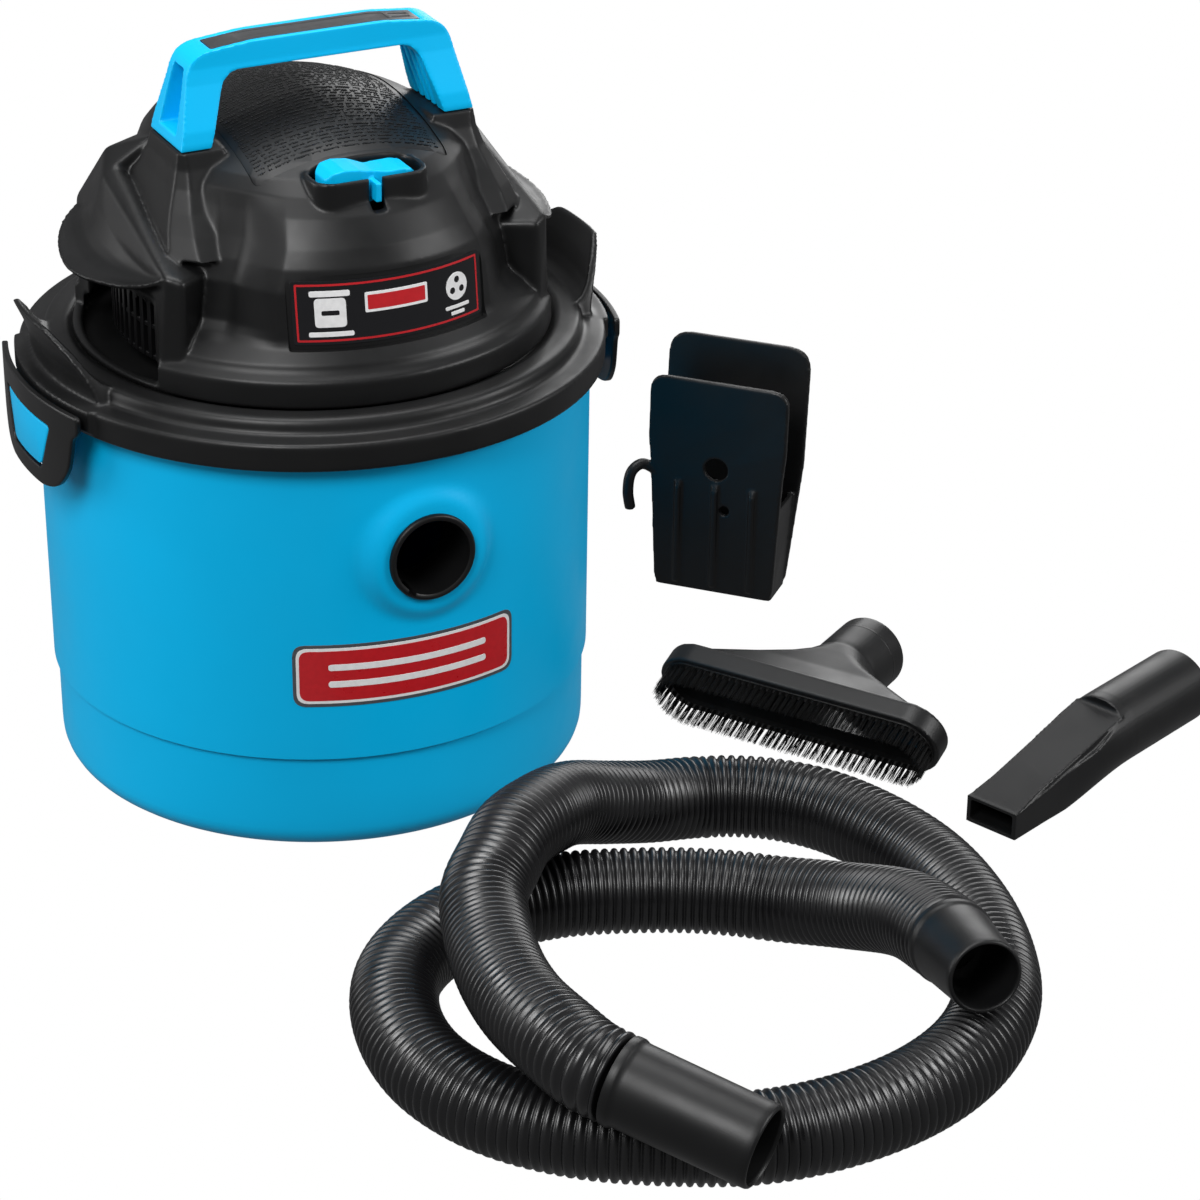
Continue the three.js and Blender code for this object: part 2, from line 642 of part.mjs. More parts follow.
// ---------------------------------------------------------------- tools and bracket

function placed(x, y, turn) {
  const group = new THREE.Group();
  group.position.set(x, y, 0);
  group.rotation.z = THREE.MathUtils.degToRad(turn);
  vacuum.add(group);
  return group;
}

// Points of a round or long-oval section for a hull.
function ringPoints(centre, half, radius, toPoint) {
  const points = [];
  for (let i = 0; i < 16; i += 1) {
    const angle = 2 * Math.PI * (i + (half > 0 ? 0.5 : 0)) / 16;
    const u = radius * Math.cos(angle) + (half > 0 ? half * Math.sign(Math.cos(angle)) : 0);
    points.push(toPoint(u, radius * Math.sin(angle), centre));
  }
  return points;
}

const NOZZLE_TILT = THREE.MathUtils.degToRad(20);
const MOUTH_Z = 19.1;

// A point of the nozzle's mouth: u along the head, v across it, w out of the mouth.
function mouthPoint(u, v, w) {
  const [sin, cos] = [Math.sin(NOZZLE_TILT), Math.cos(NOZZLE_TILT)];
  return [-v * sin - w * cos, u, MOUTH_Z + v * cos - w * sin];
}

function stadiumHull(half, radius, w0, w1) {
  return hull([w0, w1].flatMap((w) => ringPoints(w, half, radius, mouthPoint)));
}

// The nozzle's body, or its inside: it narrows from the mouth to the round neck.
function nozzleFunnel(mouth, sections, boreR, end) {
  const section = ([x, half, radius]) => (
    ringPoints(x, half, radius, (u, v, at) => [at, u, TOOL_R + v])
  );
  const neck = sections.at(-1)[0];
  const rings = [ringPoints(...mouth, mouthPoint), ...sections.map(section)];
  const spans = rings.slice(1).map((ring, i) => hull([...rings[i], ...ring]));
  return join(...spans, hull([...section([neck - 1, 0, boreR]), ...section([end, 0, boreR])]));
}

function addBrushNozzle() {
  const frame = placed(193, -125, 33);
  const head = join(
    nozzleFunnel([-11, 55, 15.5], [[22, 29, 17.4], [31, 13, 18], [46, 0, TOOL_R]], TOOL_R, 78.3),
    stadiumHull(57, 17.8, -12, 0),
  );
  const inside = join(
    nozzleFunnel([-9, 55, 12.5], [[22, 29, 14.9], [31, 13, 15.5], [44, 0, TOOL_BORE_R]], TOOL_BORE_R, 90),
    stadiumHull(56, 13, -10, 5),
  );
  add('brush_nozzle', cut(head, inside), 'black', frame);
  add('nozzle_bristles', cut(stadiumHull(57, 15.4, GAP, 13.4), stadiumHull(56.5, 11, -5, 30)), 'black',
    frame);
}

function addCreviceTool() {
  const frame = placed(236, -232, 21.3);
  const socket = (x, radius) => ringPoints(x, 0, radius, (u, v, at) => [at, u, TOOL_R + v]);
  const mouth = (x, width, low, high) => rectangle(-width, width, low, high).map(([y, z]) => [x, y, z]);
  const outer = join(
    hull([...mouth(0, 14, 0, 14), ...socket(90, TOOL_R)]),
    hull([...socket(88, TOOL_R), ...socket(150, TOOL_R)]),
  );
  const inner = join(
    hull([...mouth(-2, 12, 2, 12), ...socket(90, TOOL_BORE_R)]),
    hull([...socket(88, TOOL_BORE_R), ...socket(160, TOOL_BORE_R)]),
  );
  add('crevice_tool', cut(outer, inner), 'black', frame);
}

function addWallBracket() {
  const frame = placed(233.5, 36, -47);
  const frontPlate = prism(rounded([[-32, 3], [32, 3], [37, 70], [37, 119], [-37, 119], [-37, 70]], 9),
    'y', 0, 3);
  const backFace = rounded([[-32, 3], [32, 3], [38, 70], [38, 132], [-38, 132], [-38, 70]], 11);
  const backPlate = prism(backFace, 'y', 0, 3).rotate([-6.6, 0, 0]).translate([0, 21, 0]);
  const cheeks = [-1, 1].map((side) => hull([0, 1].flatMap((j) => {
    const x = side * (31.5 - 2.5 * j);
    return [[x, 1.5, 3.5], [x, 22.5, 3.5], [x, 1.5, 54], [x + side * 1.5, 28, 54]];
  })));
  const sole = block(-31, 31, 0.5, 23, 3, 6);
  const ear = prism(circle(0, 14.5, 14.5), 'y', 20.5, 23.4);
  const hook = rod([[-33, 4, 66], [-40, 2, 69], [-44, -3, 66], [-45, -5.5, 56], [-44, -4.5, 46]], 3, 8, 12);
  const holes = [prism(circle(0, 72, 6.3), 'y', -10, 10), prism(circle(5, 50, 2.6), 'y', -10, 10),
    prism(circle(0, 72, 3), 'y', 15, 60), prism(circle(0, 9, 2.6), 'y', 10, 40)];
  const body = cut(join(frontPlate, backPlate, ...cheeks, sole), ...holes.slice(0, 3));
  add('wall_bracket', cut(join(body, ear, hook), holes[3]), 'black', frame);
}

// ---------------------------------------------------------------- assembly

addDrum();
addLid();
addLatches();
addCover();
addVents();
addHandle();
addSwitch();
addCordGland();
addBlower();
addMotor();
addFilter();
addScrews();
addHose();
addBrushNozzle();
addCreviceTool();
addWallBracket();

export default vacuum;
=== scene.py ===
import math
import random

import bmesh
import bpy
import numpy as np
from mathutils import Matrix, Vector
from mathutils.bvhtree import BVHTree


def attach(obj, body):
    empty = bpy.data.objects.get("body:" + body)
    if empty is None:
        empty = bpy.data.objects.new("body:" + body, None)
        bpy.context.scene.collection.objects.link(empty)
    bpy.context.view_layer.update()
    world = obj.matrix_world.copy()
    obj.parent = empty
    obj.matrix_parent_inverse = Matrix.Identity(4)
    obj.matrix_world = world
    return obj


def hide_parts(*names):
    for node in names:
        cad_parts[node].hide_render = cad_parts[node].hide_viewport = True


# A small shop vacuum with its hose and accessories. Shapes are drawn in millimetres, in the CAD
# frame, and piece() turns them into metres. Routes and points given to the frame are in metres.

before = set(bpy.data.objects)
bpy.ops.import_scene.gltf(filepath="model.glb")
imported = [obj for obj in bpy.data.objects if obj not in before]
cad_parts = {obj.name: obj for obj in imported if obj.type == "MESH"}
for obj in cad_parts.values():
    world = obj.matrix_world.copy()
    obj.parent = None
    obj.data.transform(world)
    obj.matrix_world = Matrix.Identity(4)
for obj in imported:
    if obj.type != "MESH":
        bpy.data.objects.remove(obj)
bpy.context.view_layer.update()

# ------------ driving dimensions

MM = 0.001

DRUM_LOW_R = 125
DRUM_STEP_Z = 49
DRUM_STEP_R = 127.2                 # just above the step; the wall is 0.8 wider 150 higher
RIM_R = 131.6
INLET_Z = 147
INLET_HOLE_R = 19.9
INLET_BORE_R = 17.8
INLET_FLANGE_R = 20.6

BAND_R = 135
BAND_LOW_Z = 195
BAND_TOP_Z = 208
DECK_Z = 206.4
SEAT_Z = 215
SCREW_AT = 66                       # screw holes at (+-66, +-66)

COVER_R = 110
COVER_LOW_Z = 213.9
COVER_TOP_Z = 325
HANDLE_Y = -6
HANDLE_FOOT_Z = 311
HANDLE_TOP_Z = 354.5
SWITCH_Y = -64
VENT_LOW_Z = 216.6
GRILLE_R = 91.6
PANEL_HALF = 46.5
LABEL_HALF = 47.5
LABEL_LOW_Z = 238.6
LABEL_TOP_Z = 268.4

LATCH_LOW_Z = 163
LATCH_TOP_Z = 206
LATCH_R = 158
LATCH_AXIS_X = 16.2

HOSE_R = 0.019
HOSE_PITCH = 0.0041
RIB_DEPTH = 0.62                    # scales the depth of the valleys between the ribs
TOOL_R = 18.6
TOOL_BORE_R = 16.1
TOOL_AXIS_Z = TOOL_R + 0.1

FAR = 200                           # further out than anything that is cut

# ------------ shapes


def smoothstep(x, low, high):
    t = min(max((x - low) / (high - low), 0.0), 1.0)
    return t * t * (3 - 2 * t)


def mesh_from(work):
    """A new mesh from a bmesh, which is used up."""
    mesh = bpy.data.meshes.new("mesh")
    work.to_mesh(mesh)
    work.free()
    return mesh


def linked(name, data):
    obj = bpy.data.objects.new(name, data)
    bpy.context.collection.objects.link(obj)
    return obj


def shape(points, faces):
    """A mesh object with merged points and its faces turned outwards."""
    mesh = bpy.data.meshes.new("shape")
    mesh.from_pydata([tuple(float(c) for c in p) for p in points], [], faces)
    work = bmesh.new()
    work.from_mesh(mesh)
    bmesh.ops.remove_doubles(work, verts=work.verts, dist=1e-4)
    bmesh.ops.recalc_face_normals(work, faces=work.faces)
    work.to_mesh(mesh)
    work.free()
    return linked("shape", mesh)


def skin(rings, loop=False):
    """A closed solid through rings of points; loop joins the last ring to the first."""
    size, count = len(rings[0]), len(rings)
    faces = []
    for k in range(count if loop else count - 1):
        a, b = k * size, (k + 1) % count * size
        for i in range(size):
            j = (i + 1) % size
            faces.append((a + i, a + j, b + j, b + i))
    if not loop:
        faces.append(tuple(range(size - 1, -1, -1)))
        faces.append(tuple(range((count - 1) * size, count * size)))
    return shape([p for ring in rings for p in ring], faces)


def turned(profile, segments=96, warp=None):
    """A solid of revolution about Z from (radius, height) pairs, on the axis or closed on itself."""
    rings = []
    for r, z in profile:
        ring = []
        for i in range(segments):
            a = 2 * math.pi * i / segments
            x, y = r * math.sin(a), -r * math.cos(a)
            ring.append((*warp(x, y, z), z) if warp else (x, y, z))
        rings.append(ring)
    return skin(rings, loop=profile[0][0] > 0)


def sleeve(outer, inner, low, high, segments=96):
    return turned([(inner, low), (outer, low), (outer, high), (inner, high)], segments)


AXES = {
    "x": lambda u, v, w: (w, u, v),
    "y": lambda u, v, w: (u, w, v),
    "z": lambda u, v, w: (u, v, w),
}


def prism(outline, axis, low, high):
    """An outline pushed along an axis. Along x it is drawn in YZ, along y in XZ, along z in XY."""
    place = AXES[axis]
    return skin([[place(u, v, w) for u, v in outline] for w in (low, high)])


def block(x0, x1, y0, y1, z0, z1):
    return prism([(x0, y0), (x1, y0), (x1, y1), (x0, y1)], "z", z0, z1)


def hull(points):
    """The convex solid around points."""
    work = bmesh.new()
    for p in points:
        work.verts.new(p)
    found = bmesh.ops.convex_hull(work, input=work.verts)
    loose = [g for g in found["geom_interior"] if isinstance(g, bmesh.types.BMVert)]
    bmesh.ops.delete(work, geom=loose, context="VERTS")
    bmesh.ops.recalc_face_normals(work, faces=work.faces)
    return linked("hull", mesh_from(work))


def rounded(corners, radius, steps=5):
    """A closed outline through corner points, each rounded; radius is one number or one each."""
    radii = radius if hasattr(radius, "__len__") else [radius] * len(corners)
    outline = []
    for i, corner in enumerate(corners):
        here = Vector(corner)
        start = here + (Vector(corners[i - 1]) - here).normalized() * radii[i]
        end = here + (Vector(corners[(i + 1) % len(corners)]) - here).normalized() * radii[i]
        for k in range(steps + 1):
            t = k / steps
            outline.append(tuple(start * (1 - t) ** 2 + here * (2 * t * (1 - t)) + end * t ** 2))
    return outline


def rectangle(x0, x1, y0, y1):
    return [(x0, y0), (x1, y0), (x1, y1), (x0, y1)]


def circle(x, y, radius, sides=48):
    turn = 2 * math.pi / sides
    return [(x + radius * math.cos(turn * i), y + radius * math.sin(turn * i)) for i in range(sides)]


def symmetric(half):
    """An outline from the points of its left half, in order from the bottom."""
    return half + [(-x, z) for x, z in reversed(half)]


def mirrored(points, side):
    return [(side * x, y, z) for x, y, z in points]


def side_range(side):
    """From the middle plane out to one side, along x."""
    return min(0, side * FAR), max(0, side * FAR)


def applied(obj):
    """Makes an object's modifiers part of its mesh."""
    graph = bpy.context.evaluated_depsgraph_get()
    mesh = bpy.data.meshes.new_from_object(obj.evaluated_get(graph))
    obj.modifiers.clear()
    obj.data = mesh
    return obj


def boolean(base, tools, operation):
    for tool in tools:
        modifier = base.modifiers.new("boolean", "BOOLEAN")
        modifier.solver = "MANIFOLD"
        modifier.operation = operation
        modifier.object = tool
    applied(base)
    for tool in tools:
        bpy.data.objects.remove(tool)
    return base


def cut(base, *tools):
    return boolean(base, tools, "DIFFERENCE")


def join(base, *tools):
    return boolean(base, tools, "UNION")


def keep(base, tool):
    return boolean(base, [tool], "INTERSECT")


def gathered(*parts):
    """Puts several meshes in one, as they are."""
    work = bmesh.new()
    for part in parts:
        work.from_mesh(part.data)
    parts[0].data = mesh_from(work)
    for part in parts[1:]:
        bpy.data.objects.remove(part)
    return parts[0]


def moulded(obj, voxel, rounds=4, ratio=1.0):
    """Rounds every edge and blends the parts of a solid, as a mould does."""
    remesh = obj.modifiers.new("remesh", "REMESH")
    remesh.mode = "VOXEL"
    remesh.voxel_size = voxel
    smooth = obj.modifiers.new("smooth", "SMOOTH")
    smooth.iterations = rounds
    if ratio < 1:
        thin = obj.modifiers.new("thin", "DECIMATE")
        thin.ratio = ratio
    return applied(obj)


def add_bevel(obj, width, segments, angle):
    bevel = obj.modifiers.new("bevel", "BEVEL")
    bevel.width = width
    bevel.segments = segments
    bevel.limit_method = "ANGLE"
    bevel.angle_limit = math.radians(angle)


def bevelled(obj, width, segments=2, angle=35):
    add_bevel(obj, width, segments, angle)
    return applied(obj)


def moved(obj, matrix):
    obj.data.transform(matrix)
    return obj


def shift(x, y, z):
    return Matrix.Translation((x, y, z))


def rotation(degrees, axis):
    return Matrix.Rotation(math.radians(degrees), 4, axis)


def bent(obj, radius, heading=0.0):
    """Bends a flat piece, drawn with x round the machine, y outwards and z up, on to a drum.

    radius is a function of height, and heading is the angle from the front towards +X."""
    for v in obj.data.vertices:
        r = radius(v.co.z)
        angle = heading + v.co.x / r
        v.co = ((r + v.co.y) * math.sin(angle), -(r + v.co.y) * math.cos(angle), v.co.z)
    obj.data.flip_normals()
    return obj


def slab(outline, low, high, step=3.0):
    """A flat plate in XZ between two depths in Y, cut into narrow strips so that it can bend."""
    plate = prism(outline, "y", low, high)
    work = bmesh.new()
    work.from_mesh(plate.data)
    xs = [x for x, _ in outline]
    x = min(xs) + step
    while x < max(xs) - 0.2:
        geometry = work.verts[:] + work.edges[:] + work.faces[:]
        bmesh.ops.bisect_plane(work, geom=geometry, plane_co=(x, 0, 0), plane_no=(1, 0, 0))
        x += step
    work.to_mesh(plate.data)
    work.free()
    return plate


def piece(name, obj, material, body, replaces=(), crease=38):
    """Names a finished shape, turns it into metres and puts it on its CAD body."""
    obj.data.transform(Matrix.Scale(MM, 4))
    obj.name = obj.data.name = name
    obj.data.shade_smooth()
    obj.data.set_sharp_from_angle(angle=math.radians(crease))
    obj.data.materials.clear()
    obj.data.materials.append(material)
    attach(obj, body)
    if replaces:
        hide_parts(*replaces)
    return obj


# ------------ materials


class Finish:
    """A procedural material: colour and roughness that vary a little, and a fine surface."""

    def __init__(self, name, color, roughness):
        self.material = bpy.data.materials.new(name)
        self.material.use_nodes = True
        self.tree = self.material.node_tree
        self.shader = self.tree.nodes["Principled BSDF"]
        self.place = self.node("ShaderNodeTexCoord").outputs["Object"]
        self.shader.inputs["Base Color"].default_value = (*color, 1)
        self.shader.inputs["Roughness"].default_value = roughness
        self.height = None

    def node(self, kind, inputs=None, **settings):
        made = self.tree.nodes.new(kind)
        for key, value in settings.items():
            setattr(made, key, value)
        for key, value in (inputs or {}).items():
            made.inputs[key].default_value = value
        return made

    def link(self, source, target):
        self.tree.links.new(source, target)

    def set(self, **values):
        for key, value in values.items():
            self.shader.inputs[key.replace("_", " ")].default_value = value
        return self

    def noise(self, scale, detail=3.0, stretch=(1, 1, 1)):
        mapping = self.node("ShaderNodeMapping", {"Scale": stretch})
        noise = self.node("ShaderNodeTexNoise", {"Scale": scale, "Detail": detail})
        self.link(self.place, mapping.inputs["Vector"])
        self.link(mapping.outputs["Vector"], noise.inputs["Vector"])
        return noise.outputs["Fac"]

    def ranged(self, value, low, high, start=0.3, end=0.7):
        limits = {"From Min": start, "From Max": end, "To Min": low, "To Max": high}
        mapped = self.node("ShaderNodeMapRange", limits)
        self.link(value, mapped.inputs["Value"])
        return mapped.outputs["Result"]

    def tint(self, value, dark, light):
        """Colour that runs from dark to light with value."""
        ramp = self.node("ShaderNodeMix", {"A": (*dark, 1), "B": (*light, 1)}, data_type="RGBA")
        self.link(value, ramp.inputs["Factor"])
        self.link(ramp.outputs["Result"], self.shader.inputs["Base Color"])
        return self

    def gloss(self, value):
        self.link(value, self.shader.inputs["Roughness"])
        return self

    def bump(self, value, depth, strength=1.0):
        """Adds a height, with depth in metres, to the surface."""
        bump = self.node("ShaderNodeBump", {"Distance": depth, "Strength": strength})
        self.link(value, bump.inputs["Height"])
        if self.height is not None:
            self.link(self.height, bump.inputs["Normal"])
        self.height = bump.outputs["Normal"]
        self.link(self.height, self.shader.inputs["Normal"])
        return self


def moulded_plastic(name, color, roughness, grain=0.00004, spread=0.12, specular=0.5):
    """Injection-moulded plastic: a fine grain, flow marks and handling that changes the gloss."""
    finish = Finish(name, color, roughness)
    finish.set(Specular_IOR_Level=specular)
    light = [min(c * (1 + spread), 1) for c in color]
    dark = [c * (1 - spread) for c in color]
    finish.tint(finish.ranged(finish.noise(18, 4), 0, 1), dark, light)
    finish.gloss(finish.ranged(finish.noise(45, 5), roughness - 0.05, roughness + 0.07))
    finish.bump(finish.noise(2600, 2), grain, 0.35)
    finish.bump(finish.noise(90, 2), 0.0003, 0.03)
    return finish.material


def flat_print(name, color, roughness=0.3):
    """Ink or foil on a label, with the slight mottle of a print."""
    finish = Finish(name, color, roughness)
    dark = [c * 0.9 for c in color]
    finish.tint(finish.ranged(finish.noise(400, 2), 0, 1), dark, color)
    finish.gloss(finish.ranged(finish.noise(120, 3), roughness - 0.04, roughness + 0.05))
    return finish.material


def brushed_metal(name, color, roughness, stretch=(1, 1, 30)):
    finish = Finish(name, color, roughness)
    finish.set(Metallic=1.0)
    lines = finish.noise(900, 3, stretch)
    finish.gloss(finish.ranged(lines, roughness - 0.08, roughness + 0.12))
    finish.tint(finish.ranged(finish.noise(60, 3), 0, 1), [c * 0.82 for c in color], color)
    finish.bump(lines, 0.00002, 0.4)
    return finish.material


def open_foam(name, color):
    finish = Finish(name, color, 0.95)
    cells = finish.node("ShaderNodeTexVoronoi", {"Scale": 900})
    finish.link(finish.place, cells.inputs["Vector"])
    distance = cells.outputs["Distance"]
    finish.tint(finish.ranged(distance, 0, 1, 0.0, 0.7), [c * 2.2 for c in color], [c * 0.3 for c in color])
    finish.bump(distance, 0.0012, 1.0)
    finish.set(Sheen_Weight=0.2)
    return finish.material


def wound_copper(name, color):
    finish = Finish(name, color, 0.3)
    finish.set(Metallic=0.85)
    bands = finish.node("ShaderNodeTexWave", {"Scale": 330, "Distortion": 1.5}, bands_direction="X")
    finish.link(finish.place, bands.inputs["Vector"])
    finish.tint(bands.outputs["Fac"], [c * 0.35 for c in color], color)
    finish.bump(bands.outputs["Fac"], 0.0003, 0.8)
    return finish.material


BLUE = moulded_plastic("blue_plastic", (0, 0.455, 0.83), 0.4, 0.00003, 0.02, 0.2)
BLACK = moulded_plastic("black_plastic", (0.0052, 0.0053, 0.0055), 0.4, 0.00005, 0.15, 0.32)
SATIN = moulded_plastic("satin_black", (0.005, 0.005, 0.0055), 0.3, 0.00003, 0.12, 0.4)
GREY = moulded_plastic("grey_plastic", (0.035, 0.036, 0.038), 0.4, 0.00003)
HOSE = moulded_plastic("hose_plastic", (0.0055, 0.0055, 0.006), 0.3, 0.00003, 0.2)
PALE = moulded_plastic("pale_plastic", (0.5, 0.5, 0.47), 0.45)
RUBBER = moulded_plastic("rubber", (0.008, 0.008, 0.008), 0.75, 0.00006, 0.2, 0.3)
BRISTLE = moulded_plastic("bristle_nylon", (0.006, 0.006, 0.006), 0.38, 0.00002, 0.3)
STEEL = brushed_metal("zinc_steel", (0.55, 0.56, 0.57), 0.34)
ALUMINIUM = brushed_metal("aluminium", (0.66, 0.66, 0.68), 0.38, (1, 1, 8))
COPPER = wound_copper("copper", (0.62, 0.27, 0.11))
FOAM = open_foam("foam", (0.03, 0.031, 0.033))
RED_INK = flat_print("red_ink", (0.52, 0.012, 0.018))
WHITE_INK = flat_print("white_ink", (0.82, 0.82, 0.82))
GREY_INK = flat_print("grey_ink", (0.07, 0.075, 0.085))
LABEL_BLACK = flat_print("label_black", (0.006, 0.006, 0.0075), 0.16)

# ------------ camera, light and floor

HEADING = math.radians(27)
ELEVATION = math.radians(26.76)
ROLL = math.radians(0.64)
CAMERA_AT = Vector((-0.6178, -1.5072, 0.8862))


def make_camera():
    data = bpy.data.cameras.new("camera")
    data.lens = 114
    data.sensor_width = 36
    data.clip_end = 50
    camera = linked("camera", data)
    ahead = Vector((
        math.sin(HEADING) * math.cos(ELEVATION),
        math.cos(HEADING) * math.cos(ELEVATION),
        -math.sin(ELEVATION),
    ))
    level = Vector((math.cos(HEADING), -math.sin(HEADING), 0))
    upright = level.cross(ahead)
    right = level * math.cos(ROLL) + upright * math.sin(ROLL)
    up = right.cross(ahead)
    camera.matrix_world = Matrix.Translation(CAMERA_AT) @ Matrix((
        (right.x, up.x, -ahead.x, 0),
        (right.y, up.y, -ahead.y, 0),
        (right.z, up.z, -ahead.z, 0),
        (0, 0, 0, 1),
    ))
    bpy.context.scene.camera = camera


def add_softbox(name, at, target, size, power):
    data = bpy.data.lights.new(name, "AREA")
    data.shape = "RECTANGLE"
    data.size, data.size_y = size
    data.energy = power
    lamp = linked(name, data)
    lamp.location = at
    lamp.rotation_euler = (Vector(target) - Vector(at)).to_track_quat("-Z", "Y").to_euler()


def make_lights():
    add_softbox("key", (-1.3, -1.1, 1.9), (0, 0, 0.15), (0.9, 0.9), 42)
    add_softbox("fill", (1.7, -1.3, 1.2), (0.1, -0.1, 0.15), (1.2, 0.9), 26)
    add_softbox("top", (0.1, 0.25, 2.2), (0.1, -0.1, 0.1), (1.4, 1.0), 28)
    add_softbox("rim_left", (-1.7, 0.9, 0.7), (0, 0, 0.2), (0.8, 1.2), 14)
    add_softbox("rim_right", (1.4, 1.4, 0.9), (0, 0, 0.2), (1.0, 1.2), 14)


def make_world():
    world = bpy.data.worlds.new("studio")
    world.use_nodes = True
    tree = world.node_tree
    background = tree.nodes["Background"]
    place = tree.nodes.new("ShaderNodeTexCoord")
    split = tree.nodes.new("ShaderNodeSeparateXYZ")
    ramp = tree.nodes.new("ShaderNodeValToRGB")
    ramp.color_ramp.elements[0].position = 0.35
    ramp.color_ramp.elements[0].color = (0.62, 0.62, 0.63, 1)
    ramp.color_ramp.elements[1].position = 0.95
    ramp.color_ramp.elements[1].color = (0.85, 0.87, 0.9, 1)
    tree.links.new(place.outputs["Generated"], split.inputs["Vector"])
    tree.links.new(split.outputs["Z"], ramp.inputs["Fac"])
    tree.links.new(ramp.outputs["Color"], background.inputs["Color"])
    background.inputs["Strength"].default_value = 0.34
    bpy.context.scene.world = world


def make_floor():
    """A white sweep that the camera sees, and that neither lights nor shades the machine."""
    floor = skin([[(-9, -9, -0.02), (9, -9, -0.02), (9, 9, -0.02), (-9, 9, -0.02)],
                  [(-9, -9, -0.002), (9, -9, -0.002), (9, 9, -0.002), (-9, 9, -0.002)]])
    floor.name = "floor"
    sweep = Finish("sweep", (1, 1, 1), 1.0)
    sweep.set(Emission_Color=(1, 1, 1, 1), Emission_Strength=1.0, Specular_IOR_Level=0.0)
    sweep.set(Base_Color=(0, 0, 0, 1))
    floor.data.materials.append(sweep.material)
    floor.visible_diffuse = False
    floor.visible_glossy = False
    floor.visible_shadow = False


# ------------ hose

# The route of part.mjs, from the machine cuff to the tool cuff, in metres.
HOSE_ROUTE = [
    (-0.050, -0.411, 0.0556), (-0.056, -0.402, 0.0574), (-0.060, -0.382, 0.0585),
    (-0.060, -0.350, 0.0550), (-0.055, -0.318, 0.0520), (-0.046, -0.286, 0.0510),
    (-0.036, -0.261, 0.0540), (-0.021, -0.244, 0.0575), (-0.007, -0.229, 0.0584),
    (0.014, -0.213, 0.0548), (0.037, -0.194, 0.0450), (0.062, -0.182, 0.0330),
    (0.088, -0.175, 0.0234), (0.113, -0.175, 0.0194), (0.138, -0.187, 0.0191),
    (0.158, -0.208, 0.0191), (0.171, -0.238, 0.0191), (0.177, -0.272, 0.0191),
    (0.174, -0.309, 0.0191), (0.163, -0.347, 0.0191), (0.145, -0.381, 0.0191),
    (0.118, -0.407, 0.0191), (0.085, -0.423, 0.0191), (0.047, -0.429, 0.0191),
    (0.009, -0.425, 0.0191), (-0.025, -0.410, 0.0191), (-0.057, -0.388, 0.0191),
    (-0.080, -0.359, 0.0191), (-0.091, -0.324, 0.0191), (-0.088, -0.287, 0.0191),
    (-0.074, -0.256, 0.0191), (-0.050, -0.235, 0.0191), (-0.020, -0.224, 0.0191),
    (0.014, -0.224, 0.0191), (0.048, -0.235, 0.0191), (0.079, -0.251, 0.0191),
    (0.104, -0.272, 0.0200), (0.120, -0.300, 0.0280), (0.126, -0.338, 0.0430),
    (0.122, -0.377, 0.0535),
]
MACHINE_CUFF_TIP = (-0.012, -0.463, 0.044)
TOOL_CUFF_TIP = (0.114, -0.418, 0.0605)


def smooth_route(route, steps=24):
    """Points of the centripetal Catmull-Rom curve through a route."""
    p = [np.array(q, float) for q in route]
    p = [2 * p[0] - p[1], *p, 2 * p[-1] - p[-2]]
    points = []
    for a, b, c, d in zip(p, p[1:], p[2:], p[3:]):
        t1 = np.linalg.norm(b - a) ** 0.5
        t2 = t1 + np.linalg.norm(c - b) ** 0.5
        t3 = t2 + np.linalg.norm(d - c) ** 0.5
        for t in np.linspace(t1, t2, steps, endpoint=False):
            ab = (a * (t1 - t) + b * t) / t1
            bc = (b * (t2 - t) + c * (t - t1)) / (t2 - t1)
            cd = (c * (t3 - t) + d * (t - t2)) / (t3 - t2)
            near = (ab * (t2 - t) + bc * t) / t2
            far = (bc * (t3 - t) + cd * (t - t1)) / (t3 - t1)
            points.append((near * (t2 - t) + far * (t - t1)) / (t2 - t1))
    return np.array([*points, p[-2]])


def evenly(points, count):
    """The same line with count points at equal distances, and its length."""
    along = np.r_[0, np.cumsum(np.linalg.norm(np.diff(points, axis=0), axis=1))]
    at = np.linspace(0, along[-1], count)
    return np.stack([np.interp(at, along, points[:, k]) for k in range(3)], axis=1), along[-1]


def make_hose():
    """A corrugated tube along the route: round crests, narrow valleys."""
    rib = (0.86, 0.97, 1.0, 1.0, 0.97, 0.86)
    dense = smooth_route(HOSE_ROUTE)
    length = evenly(dense, 10)[1]
    ribs = round(length / HOSE_PITCH)
    centres, length = evenly(dense, ribs * len(rib) + 1)
    centres[:, 2] = np.maximum(centres[:, 2], HOSE_R + 0.0002)
    tangents = np.gradient(centres, axis=0)
    tangents /= np.linalg.norm(tangents, axis=1)[:, None]
    turn = np.linspace(0, 2 * np.pi, 36, endpoint=False)
    up = np.array([0, 0, 1.0])
    rings = []
    for i, (centre, ahead) in enumerate(zip(centres, tangents)):
        across = np.cross(ahead, up)
        across /= np.linalg.norm(across)
        above = np.cross(across, ahead)
        r = HOSE_R * (1 - (1 - rib[i % len(rib)]) * RIB_DEPTH) - 0.0001
        rings.append([centre + r * (math.cos(t) * across + math.sin(t) * above) for t in turn])
    hose_skin = skin([[p * 1000 for p in ring] for ring in rings])
    hose = piece("hose_tube", hose_skin, HOSE, "hose", ["hose"], crease=80)
    cuffs = [
        make_cuff("machine_cuff", HOSE_ROUTE[0], MACHINE_CUFF_TIP, 17.5, 15.4, "hose_cuff_machine"),
        make_cuff("tool_cuff", HOSE_ROUTE[-1], TOOL_CUFF_TIP, 15.9, 13.9, "hose_cuff_tool"),
    ]


